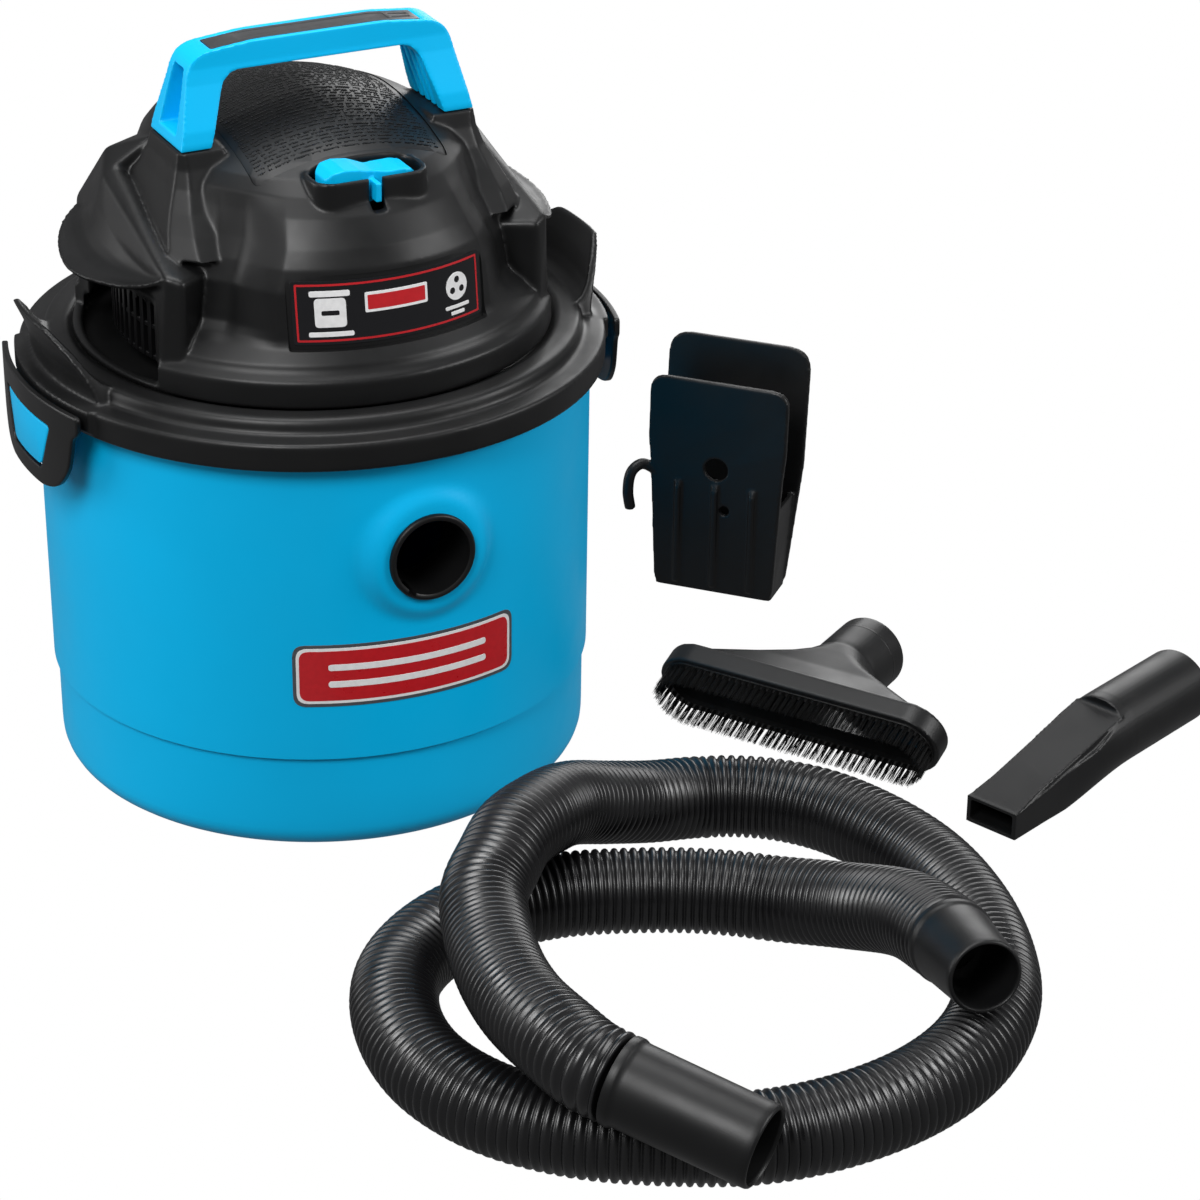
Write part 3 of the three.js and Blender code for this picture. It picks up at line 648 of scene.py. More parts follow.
def make_cuff(name, root, tip, tip_r, bore_r, node):
    """A plain tapered cuff with a ring where it grips the hose and a rounded end."""
    start, end = Vector(root) * 1000, Vector(tip) * 1000
    length = (end - start).length
    profile = [
        (bore_r, 1.2), (18.0, 1.2), (18.7, 1.6), (18.8, 2.6), (18.8, 4.6), (18.5, 5.4), (18.0, 6.2),
        (17.9, 8.0), (tip_r + 0.12, length - 4), (tip_r, length - 1.2), (tip_r - 0.35, length - 0.4),
        (tip_r - 0.9, length), (bore_r + 0.6, length), (bore_r + 0.15, length - 0.5),
        (bore_r, length - 1.6),
    ]
    cuff = turned(profile, 96)
    turn = Vector((0, 0, 1)).rotation_difference(end - start).to_matrix().to_4x4()
    moved(cuff, Matrix.Translation(start) @ turn)
    return piece(name, cuff, BLACK, "hose", [node])


# ------------ drum


def drum_radius(z):
    """Outer radius of the drum's wall."""
    if z < DRUM_STEP_Z - 1:
        return DRUM_LOW_R + 0.3 * z / DRUM_STEP_Z
    if z < DRUM_STEP_Z + 0.6:
        return DRUM_LOW_R + 0.3 + 1.9 * smoothstep(z, DRUM_STEP_Z - 1, DRUM_STEP_Z + 0.6)
    return DRUM_STEP_R + 0.8 * (z - DRUM_STEP_Z) / 150


def push_boss(obj):
    """Draws the wall round the inlet out into a soft flat boss."""
    for v in obj.data.vertices:
        if v.co.y > -100 or v.co.xy.length < 126.6:
            continue
        reach = math.hypot(v.co.x, v.co.z - INLET_Z)
        out = 1 - smoothstep(reach, 25, 34)
        v.co.y += (min(v.co.y, -130.4) - v.co.y) * out
        v.co.y = max(v.co.y, -131.0)


def make_drum():
    corner = []
    for i in range(9):
        a = math.radians(90 * i / 8)
        corner.append((DRUM_LOW_R - 12 * (1 - math.sin(a)), 12 * (1 - math.cos(a))))
    wall = [(drum_radius(z), z) for z in (16, 30, 44, 48, 48.5, 49, 49.5, 50.5, 54, 70, 90, 108)]
    wall += [(drum_radius(z), z) for z in range(112, 184, 2)]
    wall += [(drum_radius(z), z) for z in (188, 194)]
    rim = [(128, 197.2), (129.4, 198.2), (131, 198.8), (RIM_R, 199.6), (RIM_R, 203.2), (131, 203.9),
           (126.4, 203.9), (125.6, 203.4), (125.3, 200)]
    inside = [(drum_radius(z) - 2.6, z) for z in (190, 120, 60, 51, 47, 30, 14)]
    floor = [(121, 8), (117, 4.6), (112, 2.9), (90, 2.7), (88, 3.6), (84, 3.6), (82, 2.7), (0, 2.7)]
    foot = [(0, 0.6), (96, 0.6), (98, 0)]
    drum = turned([*foot, *corner, *wall, *rim, *inside, *floor], 288)
    push_boss(drum)
    bore = prism(circle(0, INLET_Z, INLET_HOLE_R, 64), "y", -140, -110)
    cut(drum, bore)
    lugs = []
    for side in (-1, 1):
        outline = rounded([(-17, 172), (17, 172), (27, 194), (-27, 194)], 3)
        lug = keep(prism(outline, "x", *side_range(side)), latch_shell(side, 0.8))
        lugs.append(bevelled(cut(lug, sleeve(126.8, 0, 160, 203)), 0.9, 3, 60))
    piece("drum_shell", gathered(drum, *lugs), BLUE, "drum", ["drum"], crease=30)


def make_inlet():
    """The black collar: a flat rounded flange with a keyway, and a tube into the drum."""
    flange = [(INLET_BORE_R, 0), (19.5, 0), (19.5, 26), (INLET_FLANGE_R - 0.5, 26.2), (INLET_FLANGE_R, 26.8),
              (INLET_FLANGE_R, 28), (20.2, 28.7), (19.6, 29), (18.6, 29), (INLET_BORE_R, 28.4)]
    collar = turned(flange, 96)
    moved(collar, shift(0, -104, INLET_Z) @ rotation(90, "X"))
    keyway = block(-2.2, 2.2, -140, -118, INLET_Z - 19.2, INLET_Z - 15)
    moved(keyway, shift(0, 0, INLET_Z) @ rotation(35, "Y") @ shift(0, 0, -INLET_Z))
    piece("inlet_ring", cut(collar, keyway), BLACK, "drum", ["inlet_collar"])


def make_badge():
    """A plain rounded badge: grey edge, white line, red field, two white bars."""
    def layer(inset):
        return rounded(rectangle(-54 + inset, 54 - inset, -15.5 + inset, 15.5 - inset), 6 - inset / 2)

    bars = [rounded(rectangle(-38, 38, z - 1.6, z + 1.6), 1.5) for z in (-4.2, 4.2)]
    layers = [(layer(0), 0.22, GREY_INK), (layer(1.6), 0.3, WHITE_INK), (layer(3.0), 0.38, RED_INK)]
    layers += [(bar, 0.46, WHITE_INK) for bar in bars]
    for index, (outline, height, material) in enumerate(layers):
        plate = bevelled(slab(outline, -0.6, height), 0.08, 1, 50)
        bent(moved(plate, shift(0, 0, 92)), drum_radius, math.radians(-4))
        piece(f"drum_badge_{index + 1}", plate, material, "drum")


# ------------ lid and latches


def make_lid():
    """The ring with its band, deck and seat, wider over the latches, and an ear over each latch."""
    ring = turned([
        (24, DECK_Z), (129.8, DECK_Z), (129.8, 205), (132.4, 204.6), (132.4, 195.4),
        (132.8, BAND_LOW_Z), (134.4, BAND_LOW_Z), (BAND_R, 195.6), (BAND_R, 206.8), (134.6, 207.6),
        (133.6, BAND_TOP_Z), (125.2, 208.3), (124.3, 208.8), (123.4, 212.6), (122.6, 214),
        (121.2, 214.8), (119, SEAT_Z), (112.6, SEAT_Z),
        (111.6, 214.6), (111.2, 213.4), (108, 213.2), (108, 209), (24, 209),
    ], 288)
    bulge = cut(sleeve(137, 133, 197.6, BAND_TOP_Z, 288), block(-90, 90, -FAR, FAR, 190, 210))
    bulge = cut(bulge, block(-FAR, FAR, 50, FAR, 190, 210), block(-FAR, FAR, -FAR, -50, 190, 210))
    for x in (-SCREW_AT, SCREW_AT):
        for y in (-SCREW_AT, SCREW_AT):
            cut(ring, moved(sleeve(2.5, 0, 200, 212, 24), shift(x, y, 0)))
    ears = []
    for side in (-1, 1):
        outline = rounded([(-46, 206), (46, 206), (43, 214), (38, 222), (30, 230.5), (19, 238.6),
                           (-19, 238.6), (-30, 230.5), (-38, 222), (-43, 214)], 4)
        section = [(119, 207.5), (124, 207), (129, 208), (129.8, 214), (131.4, 220.5), (134.2, 228.5),
                   (138.2, 237.6), (137.4, 238.6), (135.6, 238.4), (130.8, 229.6), (127.4, 221.4),
                   (124.6, 217), (121.4, 215), (119, 214.6)]
        wall = prism(outline, "x", *side_range(side))
        ears.append(keep(turned(section, 288), wall))
    lid = moulded(gathered(ring, bulge, *ears), 0.9, 8, 0.5)
    piece("lid", lid, BLACK, "head", ["lid_base"])


def latch_shell(side, inset):
    """The solid inside a latch's outer face, which is flatter than the drum."""
    shell = sleeve(LATCH_R - inset, 0, 150, 210, 288)
    return moved(shell, shift(-side * LATCH_AXIS_X, 0, 0))


def make_latches():
    """Each latch is a plate with a window for the drum's lug, bent to its own round."""
    for name, side in (("left", -1), ("right", 1)):
        outline = rounded([(-22, LATCH_LOW_Z), (22, LATCH_LOW_Z), (34, 168), (42, 178), (46, 195),
                           (50, 198), (50, LATCH_TOP_Z), (-50, LATCH_TOP_Z), (-50, 198), (-46, 195),
                           (-42, 178), (-34, 168)], [8, 8, 5, 5, 3, 2, 2, 2, 2, 3, 5, 5])
        window = rounded([(-18, 171), (18, 171), (28, 195), (-28, 195)], 3)
        plate = cut(slab(outline, 0.1, 2.9), prism(window, "y", -10, 10))
        plate = moulded(plate, 0.5, 2)
        bent(plate, lambda z: LATCH_R - 3, side * math.pi / 2)
        moved(plate, shift(-side * LATCH_AXIS_X, 0, 0))
        piece(f"latch_{name}_plate", plate, BLACK, f"latch_{name}", [f"latch_{name}"])


# ------------ motor cover

DOME = [(98.0, 241), (97.6, 245), (97, 250), (95.8, 262), (94.3, 272), (92.3, 280), (88.2, 291),
        (83.2, 298), (77, 303.5), (67, 308.5), (54, 313.5), (40, 318), (24, 322), (10, 324.3)]
APRON = [(COVER_R, COVER_LOW_Z), (COVER_R, 225.4), (109.4, 226.4), (106.6, 228.6), (105.2, 230.4),
         (104.6, 232.2), (99.2, 238)]


def facet(x, y, z):
    """How far the dome's side is set back from its round front, for the facets and the valleys."""
    from_front = math.degrees(math.atan2(abs(x), -y))
    depth = np.interp(from_front, (31.5, 43, 46, 56, 64, 118, 128), (0, 5.2, 7, 7, 2.5, 2.5, 0))
    return float(depth) * smoothstep(z, 236, 245) * (1 - smoothstep(z, 284, 302))


def dome_place(x, y, z):
    """The dome leans back and narrows towards its top, and its sides are faceted."""
    narrow = 1 - 0.14 * smoothstep(z, 255, 290)
    r = math.hypot(x, y)
    if r > 60:
        shrink = 1 - facet(x, y, z) / r
        x, y = x * shrink, y * shrink
    return x * narrow, y + 14 * smoothstep(z, 268, 318)


def dome(inset, segments=240):
    """The cover's dome and apron, or its inside where inset is the wall."""
    def inner(r, z):
        rise = smoothstep(z, 240, 310)
        return max(r - inset * math.sqrt(1 - 0.9 * rise * rise), 0.5), z - inset * rise

    skirt = [(0, COVER_LOW_Z - 2 * inset)]
    skirt += [(r - inset, z - inset * (i > 0)) for i, (r, z) in enumerate(APRON)]
    skirt[1] = (COVER_R - inset, COVER_LOW_Z - 2 * inset)
    crown = [inner(r, z) for r, z in DOME]
    return turned([*skirt, *crown, (0, COVER_TOP_Z - inset)], segments, dome_place)


def pedestal(side):
    """The foot of one end of the handle: upright at the top and flared where it meets the dome."""
    levels = [
        (310.7, 50, 71.4, -25.5, 13.5), (303, 49, 72.6, -27.5, 17), (295, 47, 75.2, -31.5, 23),
        (287, 44, 79, -38, 30), (279, 42, 82.5, -46, 38), (270, 38, 85, -54, 46),
    ]
    rings = []
    for z, x0, x1, y0, y1 in levels:
        c = 2.5 + (311 - z) * 0.2
        ring = [(x0, y0), (x1 - c, y0), (x1, y0 + c), (x1, y1 - c), (x1 - c, y1), (x0, y1)]
        rings.append([(side * x, y, z) for x, y in ring])
    return [hull([*a, *b]) for a, b in zip(rings, rings[1:])]


# Where the visor of the +X vent springs from its wall, and its own edge, from front to back.
VISOR_ROOT = [(90.5, -55, 268), (92, -45, 265.8), (93.5, -35, 264.8), (95, -22, 265.8), (96.2, -8, 268.5),
              (96.5, 6, 272), (95.5, 20, 275), (92, 34, 276), (87, 46, 274), (82, 55, 270)]
VISOR_EDGE = [(92, -55.8, 267), (98.5, -47, 262.6), (105, -36, 259.4), (110.5, -22, 257.4), (115, -8, 256.4),
              (116.5, 5, 256.8), (114.5, 19, 259), (109, 33, 262), (99.5, 46, 265), (86, 57, 267.5)]


def visor(side):
    """The thin lobe over a vent: it falls steeply from its wall and flattens towards its edge."""
    rings = []
    for root, edge in zip(smooth_route(VISOR_ROOT, 5), smooth_route(VISOR_EDGE, 5)):
        w, e = Vector(root), Vector(edge)
        ring = [Vector((w.x - 9, w.y * 0.94, 249)), w]
        for out, fall in ((0.14, 0.42), (0.32, 0.72), (0.55, 0.9), (0.8, 0.98)):
            ring.append(Vector((*w.xy.lerp(e.xy, out), w.z + (e.z - w.z) * fall)))
        ring += [e, e - Vector((0.5, 0, 2.3)), Vector((*w.xy.lerp(e.xy, 0.4), e.z - 2.8))]
        rings.append([(side * p.x, p.y, p.z) for p in ring])
    return skin(rings)


def hood(side):
    """The housing of one vent: an upright wall between two posts, under a ridge that climbs back."""
    ridge = [(85, -59.5, 266), (83, -40, 270), (88, 0, 280), (91, 22, 288.5), (84, 36, 296),
             (72, 54, 288)]
    posts = [(x, end * y, z) for end in (-1, 1) for x, y, z in (
        (95.2, 52, 219), (92.2, 56.4, 267), (85.2, 61, 264.5), (86, 61.5, 226), (74, 50, 219),
        (70, 50, 264))]
    back = [(91, 22, 288.5), (84, 36, 296), (72, 54, 288), (66, 22, 303.5), (58, 42, 300), (62, 20, 280),
            (58, 52, 272)]
    wall = hull(mirrored([*ridge, *VISOR_ROOT, *posts], side))
    return moulded(join(wall, hull(mirrored(back, side))), 1.2, 6)


def vent_space(side):
    """What is cut away in front of a grille: a bay with a quarter-round wall at each end."""
    bay = cut(block(-FAR, FAR, -43, 43, VENT_LOW_Z, 251), sleeve(GRILLE_R, 0, 190, 270))
    bay = keep(bay, block(*side_range(side), -FAR, FAR, 200, 270))
    scoops = [moved(sleeve(20, 0, VENT_LOW_Z, 255, 64), shift(side * 113, end * 43, 0)) for end in (-1, 1)]
    return [bay, *scoops]


def collar(outset, low, high):
    """The wall round the switch, or with a negative outset the well inside it."""
    outline = rounded(rectangle(-27.4 - outset, 27.4 + outset, SWITCH_Y - 12.4 - outset,
                                SWITCH_Y + 12.4 + outset), 11 + outset, 12)
    return prism(outline, "z", low, high)


def panel_outline(inset):
    half = PANEL_HALF - inset
    return rounded(rectangle(-half, half, -51 + inset, 56 - inset), 4)


def label_recess():
    """What is cut away for the front label: a plate a little larger, bent round the dome."""
    half, rim = LABEL_HALF + 1.6, 1.6
    outline = rounded(rectangle(-half, half, LABEL_LOW_Z - rim, LABEL_TOP_Z + rim), 1.5)
    return bent(slab(outline, -0.8, 6), label_radius)


def label_radius(z):
    """Radius of the dome's front at a height, where the label lies on it."""
    return float(np.interp(z, (238, 250, 262, 272), (98.2, 97, 95.8, 94.3)))


def make_cover():
    """The dome with its pedestals, vents and switch collar, hollow, rounded as a mould rounds it."""
    parts = [dome(0)]
    for side in (-1, 1):
        parts += [*pedestal(side), hood(side), visor(side)]
    parts.append(collar(0, 285, 305.6))
    shell = join(*parts)
    cut(shell, dome(4.6, 96))
    for side in (-1, 1):
        cut(shell, *vent_space(side))
    slot = block(-3.2, 3.2, SWITCH_Y - 20.5, SWITCH_Y, 291.5, 310)
    cut(shell, collar(-2.6, 270, 312), slot)
    shell = moulded(shell, 0.8, 7, 0.5)
    cut(shell, cut(prism(panel_outline(0), "z", 286, 340), dome(1.3)), label_recess())
    cut(shell, moved(moved(sleeve(6.5, 0, 0, 40, 32), rotation(-90, "X")), shift(0, 84, 250)))
    piece("cover", shell, BLACK, "head", ["motor_cover"], crease=45)


def make_top_panel():
    """The insert between the handle's feet, with rows of small raised marks that spell nothing."""
    plate = keep(prism(panel_outline(0.4), "z", 286, 340), dome(0.45))
    cut(plate, dome(1.2))
    tree = BVHTree.FromObject(plate, bpy.context.evaluated_depsgraph_get())
    chance = random.Random(7)
    marks = []
    y = -46.0
    while y < 50:
        tall = chance.choice((1.1, 1.3, 1.3, 1.9)) / 2
        x = -43.0
        while x < 42:
            for _ in range(chance.randint(2, 9)):
                width = chance.choice((0.35, 0.6, 0.8))
                found = tree.ray_cast((x + width / 2, y, 400), (0, 0, -1))[0]
                if x + width < 43 and found:
                    low = y - tall * chance.choice((1, 1, 0.2))
                    marks.append(block(x, x + width, low, y + tall, found.z - 0.5, found.z + 0.2))
                x += width + 0.35
            x += 1.3
        y += 2 * tall + 1.2
    piece("panel_plate", bevelled(plate, 0.3, 2, 50), BLACK, "head", ["top_panel"])
    piece("panel_marks", gathered(*marks), BLACK, "head")


def make_grilles():
    """Upright bars and three rails, with a plain dark plate behind them that closes the vent as painted
    shade for its shadowed inside, bent round the cover.
    """
    for name, side in (("left", -1), ("right", 1)):
        bars = []
        for i in range(15):
            y = -42 + 6 * i
            bars.append(slab(rectangle(y - 1.3, y + 1.3, 217, 250), -5, 0, 10))
        for z in (217.6, 232.5, 248.4):
            bars.append(slab(rectangle(-44, 44, z - 1.1, z + 1.1), -4, -0.6))
        # The dark plate behind the bars is painted shade: it stands where the inside of the vent would lie
        # in shadow.
        bars.append(slab(rectangle(-44, 44, 217, 250), -6.4, -5.2))
        for bar in bars:
            bent(bar, lambda z: GRILLE_R, side * math.pi / 2)
        piece(f"grille_{name}", bevelled(gathered(*bars), 0.25, 1), SATIN, "head",
              [f"vent_grille_{name}"])


def make_front_label():
    """A glossy black label: red keyline, plain pictograms and bars, and a red and white bar."""
    def plate(outline, height):
        return bent(bevelled(slab(outline, -0.8, height), 0.06, 1, 50), label_radius)

    def bar(x0, x1, z0, z1, radius=0.8):
        return rounded(rectangle(x0, x1, z0, z1), radius)

    field = plate(bar(-46.9, 46.9, 239.2, 267.8, 1.5), -0.35)
    piece("label_field", field, LABEL_BLACK, "head")
    keyline = cut(slab(bar(-45.2, 45.2, 240.6, 266.4, 0.8), -0.8, -0.28),
                  prism(bar(-44.3, 44.3, 241.5, 265.5, 0.6), "y", -5, 5))
    piece("label_keyline", bent(keyline, label_radius), RED_INK, "head")
    drum_sign = [bar(-37, -23, 247, 260, 2), bar(-39, -21, 260.8, 263.4, 1), bar(-40, -20, 242.8, 245, 0.9)]
    fan_sign = [circle(32, 255.5, 6.2, 40), bar(25, 39, 245.6, 247.2, 0.7), bar(28, 36, 242.8, 244.4, 0.7)]
    middle = [bar(-14.5, 15.5, 252.5, 261.5, 0.8)]
    white = [plate(outline, -0.24) for outline in [*drum_sign, *fan_sign, *middle]]
    piece("label_signs", gathered(*white), WHITE_INK, "head")
    blades = [circle(32 + 3.1 * math.cos(a), 255.5 + 3.1 * math.sin(a), 1.5, 24)
              for a in (math.pi / 2, math.pi * 7 / 6, math.pi * 11 / 6)]
    black = [plate(outline, -0.2) for outline in [*blades, bar(-34, -26, 252.4, 254.6, 0.8)]]
    piece("label_sign_details", gathered(*black), LABEL_BLACK, "head")
    stripe = plate(bar(-13.3, 14.3, 253.7, 260.3, 0.5), -0.2)
    piece("label_stripe", stripe, RED_INK, "head")


# ------------ handle and switch


def grip_strip(top, bottom, reach):
    """A strip in XZ along the arched top of the grip, between two depths below it."""
    end = HANDLE_TOP_Z - 0.1 * (reach - 30)
    line = symmetric([(-reach, end), (-30, HANDLE_TOP_Z)])
    return [(x, z - bottom) for x, z in line] + [(x, z - top) for x, z in reversed(line)]


def make_handle():
    """An arch with a hollow down the outside of each leg and flutes down the inside."""
    foot = HANDLE_FOOT_Z + 0.1
    outer = symmetric([(-70.4, foot), (-66, 331), (-61.5, 351.3), (-30, HANDLE_TOP_Z)])
    outer = rounded(outer, [0.1, 6, 10, 6, 6, 10, 6, 0.1], 10)
    window = rounded(symmetric([(-63, 290), (-45.5, 342.5)]), 8, 8)
    arch = prism(outer, "y", HANDLE_Y - 19, HANDLE_Y + 19)
    cut(arch, prism(window, "y", -FAR, FAR), block(-FAR, FAR, -FAR, FAR, 280, foot))
    for j in (-1, 1):
        side = [(HANDLE_Y + j * a, z) for a, z in ((19.4, foot), (18, 319), (14.8, 329), (12, 338),
                                                  (10.6, 345), (10, 357), (40, 357), (40, foot))]
        cut(arch, prism(side, "x", -FAR, FAR))
    for side in (-1, 1):
        hollow = [(x, HANDLE_Y + j * y, z) for j in (-1, 1) for x, y, z in (
            (50.5, 4.5, 343.5), (53.5, 5, 336), (60, 8.5, 316.5), (90, 7.5, 347), (90, 13, 315.5))]
        cut(arch, hull(mirrored(hollow, side)))
        for k in range(4):
            y = HANDLE_Y - 9.6 + 6.4 * k
            flute = [(x, y + j * wide, z) for j in (-1, 1) for x, wide, z in (
                (52, 2.1, foot - 2), (59.6, 1.5, foot - 2), (44, 1.6, 337), (49.6, 0.9, 337))]
            cut(arch, hull(mirrored(flute, side)))
    cut(arch, prism(grip_strip(-20, 1.3, 50.4), "y", HANDLE_Y - 7, HANDLE_Y + 7))
    piece("handle_arch", moulded(arch, 0.62, 4, 0.6), BLUE, "head", ["handle"])


def make_inlay():
    """The grey strip let into the grip, with a shallow field and two slits."""
    strip = prism(grip_strip(0.15, 1.6, 50), "y", HANDLE_Y - 6.7, HANDLE_Y + 6.7)
    field = prism(grip_strip(-5, 0.5, 36), "y", HANDLE_Y - 4.4, HANDLE_Y + 4.4)
    slits = [block(38, 47, y - 0.7, y + 0.7, 300, 360) for y in (HANDLE_Y - 2.2, HANDLE_Y + 2.2)]
    cut(strip, field, *slits)
    piece("grip_strip", bevelled(strip, 0.18), GREY, "head", ["grip_inlay"])


def make_switch():
    """The rocker: a high round lobe, a waist with a pointer in front, and a flatter lobe."""
    top = [(-22.2, 301), (-21.4, 306), (-18.5, 309), (-13, 310), (-6, 309.2), (1, 307), (8, 306.4),
           (14, 306.6), (19, 305.6), (21.6, 303), (22.2, 297)]
    paddle = prism([*top, (18, 294), (0, 293), (-18, 296)][::-1], "y", SWITCH_Y - 12, SWITCH_Y + 12)
    right_half = [(22.2, 7.6), (7, 8.2), (1.5, 5.4), (-3, 8.8), (-22.2, 8.8)]
    plan = right_half + [(x, -y) for x, y in reversed(right_half)]
    plan = rounded(plan, [6, 3, 2.5, 4, 7.5, 7.5, 4, 2.5, 3, 6], 8)
    keep(paddle, prism([(x, SWITCH_Y + y) for x, y in plan], "z", 280, 320))
    pointer = block(-1.3, 1.3, SWITCH_Y - 15.3, SWITCH_Y + 3, 295.6, 304.2)
    rocker = moulded(join(paddle, pointer), 0.42, 9)
    piece("rocker_paddle", rocker, BLUE, "rocker", ["switch_rocker"])


def make_gland():
    """The ribbed rubber gland that the power cord comes out of, at the back."""
    profile = [(3.4, 0), (6.1, 0), (6.1, 10.4), (8.9, 10.6), (8.9, 13.2), (8.3, 13.5), (6.2, 13.6)]
    for k in range(4):
        profile += [(5.1 - 0.2 * k, 14.4 + 2.3 * k), (5.1 - 0.2 * k, 15.6 + 2.3 * k),
                    (4.4 - 0.15 * k, 15.8 + 2.3 * k), (4.4 - 0.15 * k, 16.5 + 2.3 * k)]
    profile += [(4.0, 23.9), (3.4, 23.9)]
    gland = turned(profile, 48)
    moved(gland, shift(0, 88, 250) @ rotation(-90, "X"))
    piece("gland", gland, RUBBER, "head", ["cord_gland"])


# ------------ filter and float


def make_filter():
    rows = [(46.5, 121.2)] + [(56, 121.2 + 1.6 * k) for k in range(51)] + [(46.5, 202.8)]
    foam = turned(rows, 160)
    chance = random.Random(3)
    for v in foam.data.vertices:
        r = v.co.xy.length
        if r > 50:
            squeeze = 1.1 * (1 - smoothstep(abs(v.co.z - 197), 1, 7))
            size = (r - squeeze - 0.5 * chance.random()) / r
            v.co.x *= size
            v.co.y *= size
    piece("foam_tube", foam, FOAM, "head", ["foam_sleeve"], crease=60)
    band = turned([(56.3, 194.6), (57.2, 194.2), (57.8, 195), (57.9, 197), (57.8, 199), (57.2, 199.8),
                   (56.3, 199.4)], 120)
    piece("retainer_band", band, RUBBER, "head", ["filter_retainer"])
    cup = turned([(0, 126.2), (22, 126.2), (24.5, 126.6), (28.8, 130.4), (29.8, 132), (30, 134),
                  (30, 150), (29.2, 152.6), (27, 155), (21, 159.4), (18, 160.6), (8, 161.8), (0, 162)], 96)
    piece("float_bell", cup, PALE, "float", ["float_cup"])


# ------------ accessories


def placed(x, y, degrees):
    return shift(x, y, 0) @ rotation(degrees, "Z")


NOZZLE_PLACE = placed(193, -125, 33)
NOZZLE_TILT = math.radians(20)
MOUTH_Z = 19.1
CREVICE_PLACE = placed(236, -232, 21.3)
BRACKET_PLACE = placed(233.5, 36, -47)


def mouth_point(u, v, w):
    """A point of the nozzle's mouth: u along the head, v across it, w out of the mouth."""
    sin, cos = math.sin(NOZZLE_TILT), math.cos(NOZZLE_TILT)
    return (-v * sin - w * cos, u, MOUTH_Z + v * cos - w * sin)


def oval(half, radius, sides=48):
    """A long oval in (u, v): two half circles joined by straight sides."""
    points = []
    for i in range(sides):
        a = 2 * math.pi * (i + 0.5) / sides
        points.append((radius * math.cos(a) + half * math.copysign(1, math.cos(a)), radius * math.sin(a)))
    return points


def oval_plate(half, radius, low, high):
    outline = oval(half, radius)
    return skin([[mouth_point(u, v, w) for u, v in outline] for w in (low, high)])


def tool_ring(x, half, radius):
    """A long oval across a tool's length, at x along it; half = 0 makes it round."""
    return [(x, y, TOOL_AXIS_Z + z) for y, z in oval(half, radius)]


def tube(stations, half=0):
    """A round solid along a tool, through (x, radius) pairs."""
    return skin([tool_ring(x, half, radius) for x, radius in stations])


def nozzle_body(wall):
    """The fan-shaped head, from a long oval behind its mouth to the round neck."""
    sections = [(22, 29, 17.4), (31, 13, 18), (38, 4.5, 18.4), (46, 0.001, TOOL_R)]
    rings = [[mouth_point(u, v, -11 + 0.8 * wall) for u, v in oval(55, 15.5 - wall)]]
    rings += [tool_ring(x, half, r - wall) for x, half, r in sections]
    return skin(rings)


def make_nozzle():
    nozzle = join(
        nozzle_body(0),
        oval_plate(57, 17.3, -12, -10.6),
        oval_plate(57, 17.8, -11, 0),
        tube([(44, 18.2), (50, TOOL_R), (77.6, TOOL_R), (78.2, 18.1)]),
    )
    cut(nozzle, tube([(40, TOOL_BORE_R), (90, TOOL_BORE_R)]), nozzle_body(2.6),
        oval_plate(56, 13, -10, 4))
    nozzle = moulded(nozzle, 0.75, 5, 0.6)
    edge = tube([(66, TOOL_R - 0.3), (66.5, TOOL_R), (68, TOOL_R), (68.5, TOOL_R - 0.3)])
    cut(edge, tube([(60, TOOL_BORE_R + 0.5), (75, TOOL_BORE_R + 0.5)]))
    moved(gathered(nozzle, edge), NOZZLE_PLACE)
    piece("nozzle_head", nozzle, BLACK, "nozzle", ["brush_nozzle"])


def bristle(root, tip, width):
    """One bristle: a thin three-sided blade that tapers to its tip."""
    ahead = (tip - root).normalized()
    across = ahead.orthogonal().normalized()
    other = ahead.cross(across)
    ring = []
    for k in range(3):
        a = 2 * math.pi * k / 3
        ring.append(across * math.cos(a) + other * math.sin(a))
    points = [root + r * width for r in ring] + [tip + r * width * 0.45 for r in ring]
    faces = [(0, 1, 4, 3), (1, 2, 5, 4), (2, 0, 3, 5), (3, 4, 5), (2, 1, 0)]
    return points, faces


def make_bristles():
    """A row of tufts round the mouth, each tuft a bundle of single bristles."""
    chance = random.Random(11)
    points, faces = [], []
    outline = oval(57, 13.7, 400)
    line = np.array([*outline, outline[0]])
    distance = np.r_[0, np.cumsum(np.linalg.norm(np.diff(line, axis=0), axis=1))]
    total = distance[-1]
    tufts = 92
    for k in range(tufts):
        at = total * (k + 0.5) / tufts
        u0 = np.interp(at, distance, line[:, 0])
        v0 = np.interp(at, distance, line[:, 1])
        for _ in range(26):
            a, r = chance.uniform(0, 2 * math.pi), 1.2 * math.sqrt(chance.random())
            u, v = u0 + r * math.cos(a), v0 + r * math.sin(a)
            lean_u, lean_v = chance.uniform(-0.8, 0.8), chance.uniform(-0.5, 0.5)
            root = Vector(mouth_point(u, v, -1))
            tip = Vector(mouth_point(u + lean_u, v + lean_v, 13.3 + chance.uniform(-1.2, 0.1)))
            tip.z = max(tip.z, 0.5)
            new_points, new_faces = bristle(root, tip, 0.17)
            faces += [tuple(i + len(points) for i in f) for f in new_faces]
            points += new_points
    mesh = bpy.data.meshes.new("bristles")
    mesh.from_pydata([tuple(p) for p in points], [], faces)
    rows = linked("bristles", mesh)
    base = oval_plate(57, 15.4, -2, 0.8)
    cut(base, oval_plate(56.5, 12.2, -5, 5))
    moved(gathered(rows, base), NOZZLE_PLACE)
    piece("bristle_rows", rows, BRISTLE, "nozzle", ["nozzle_bristles"])


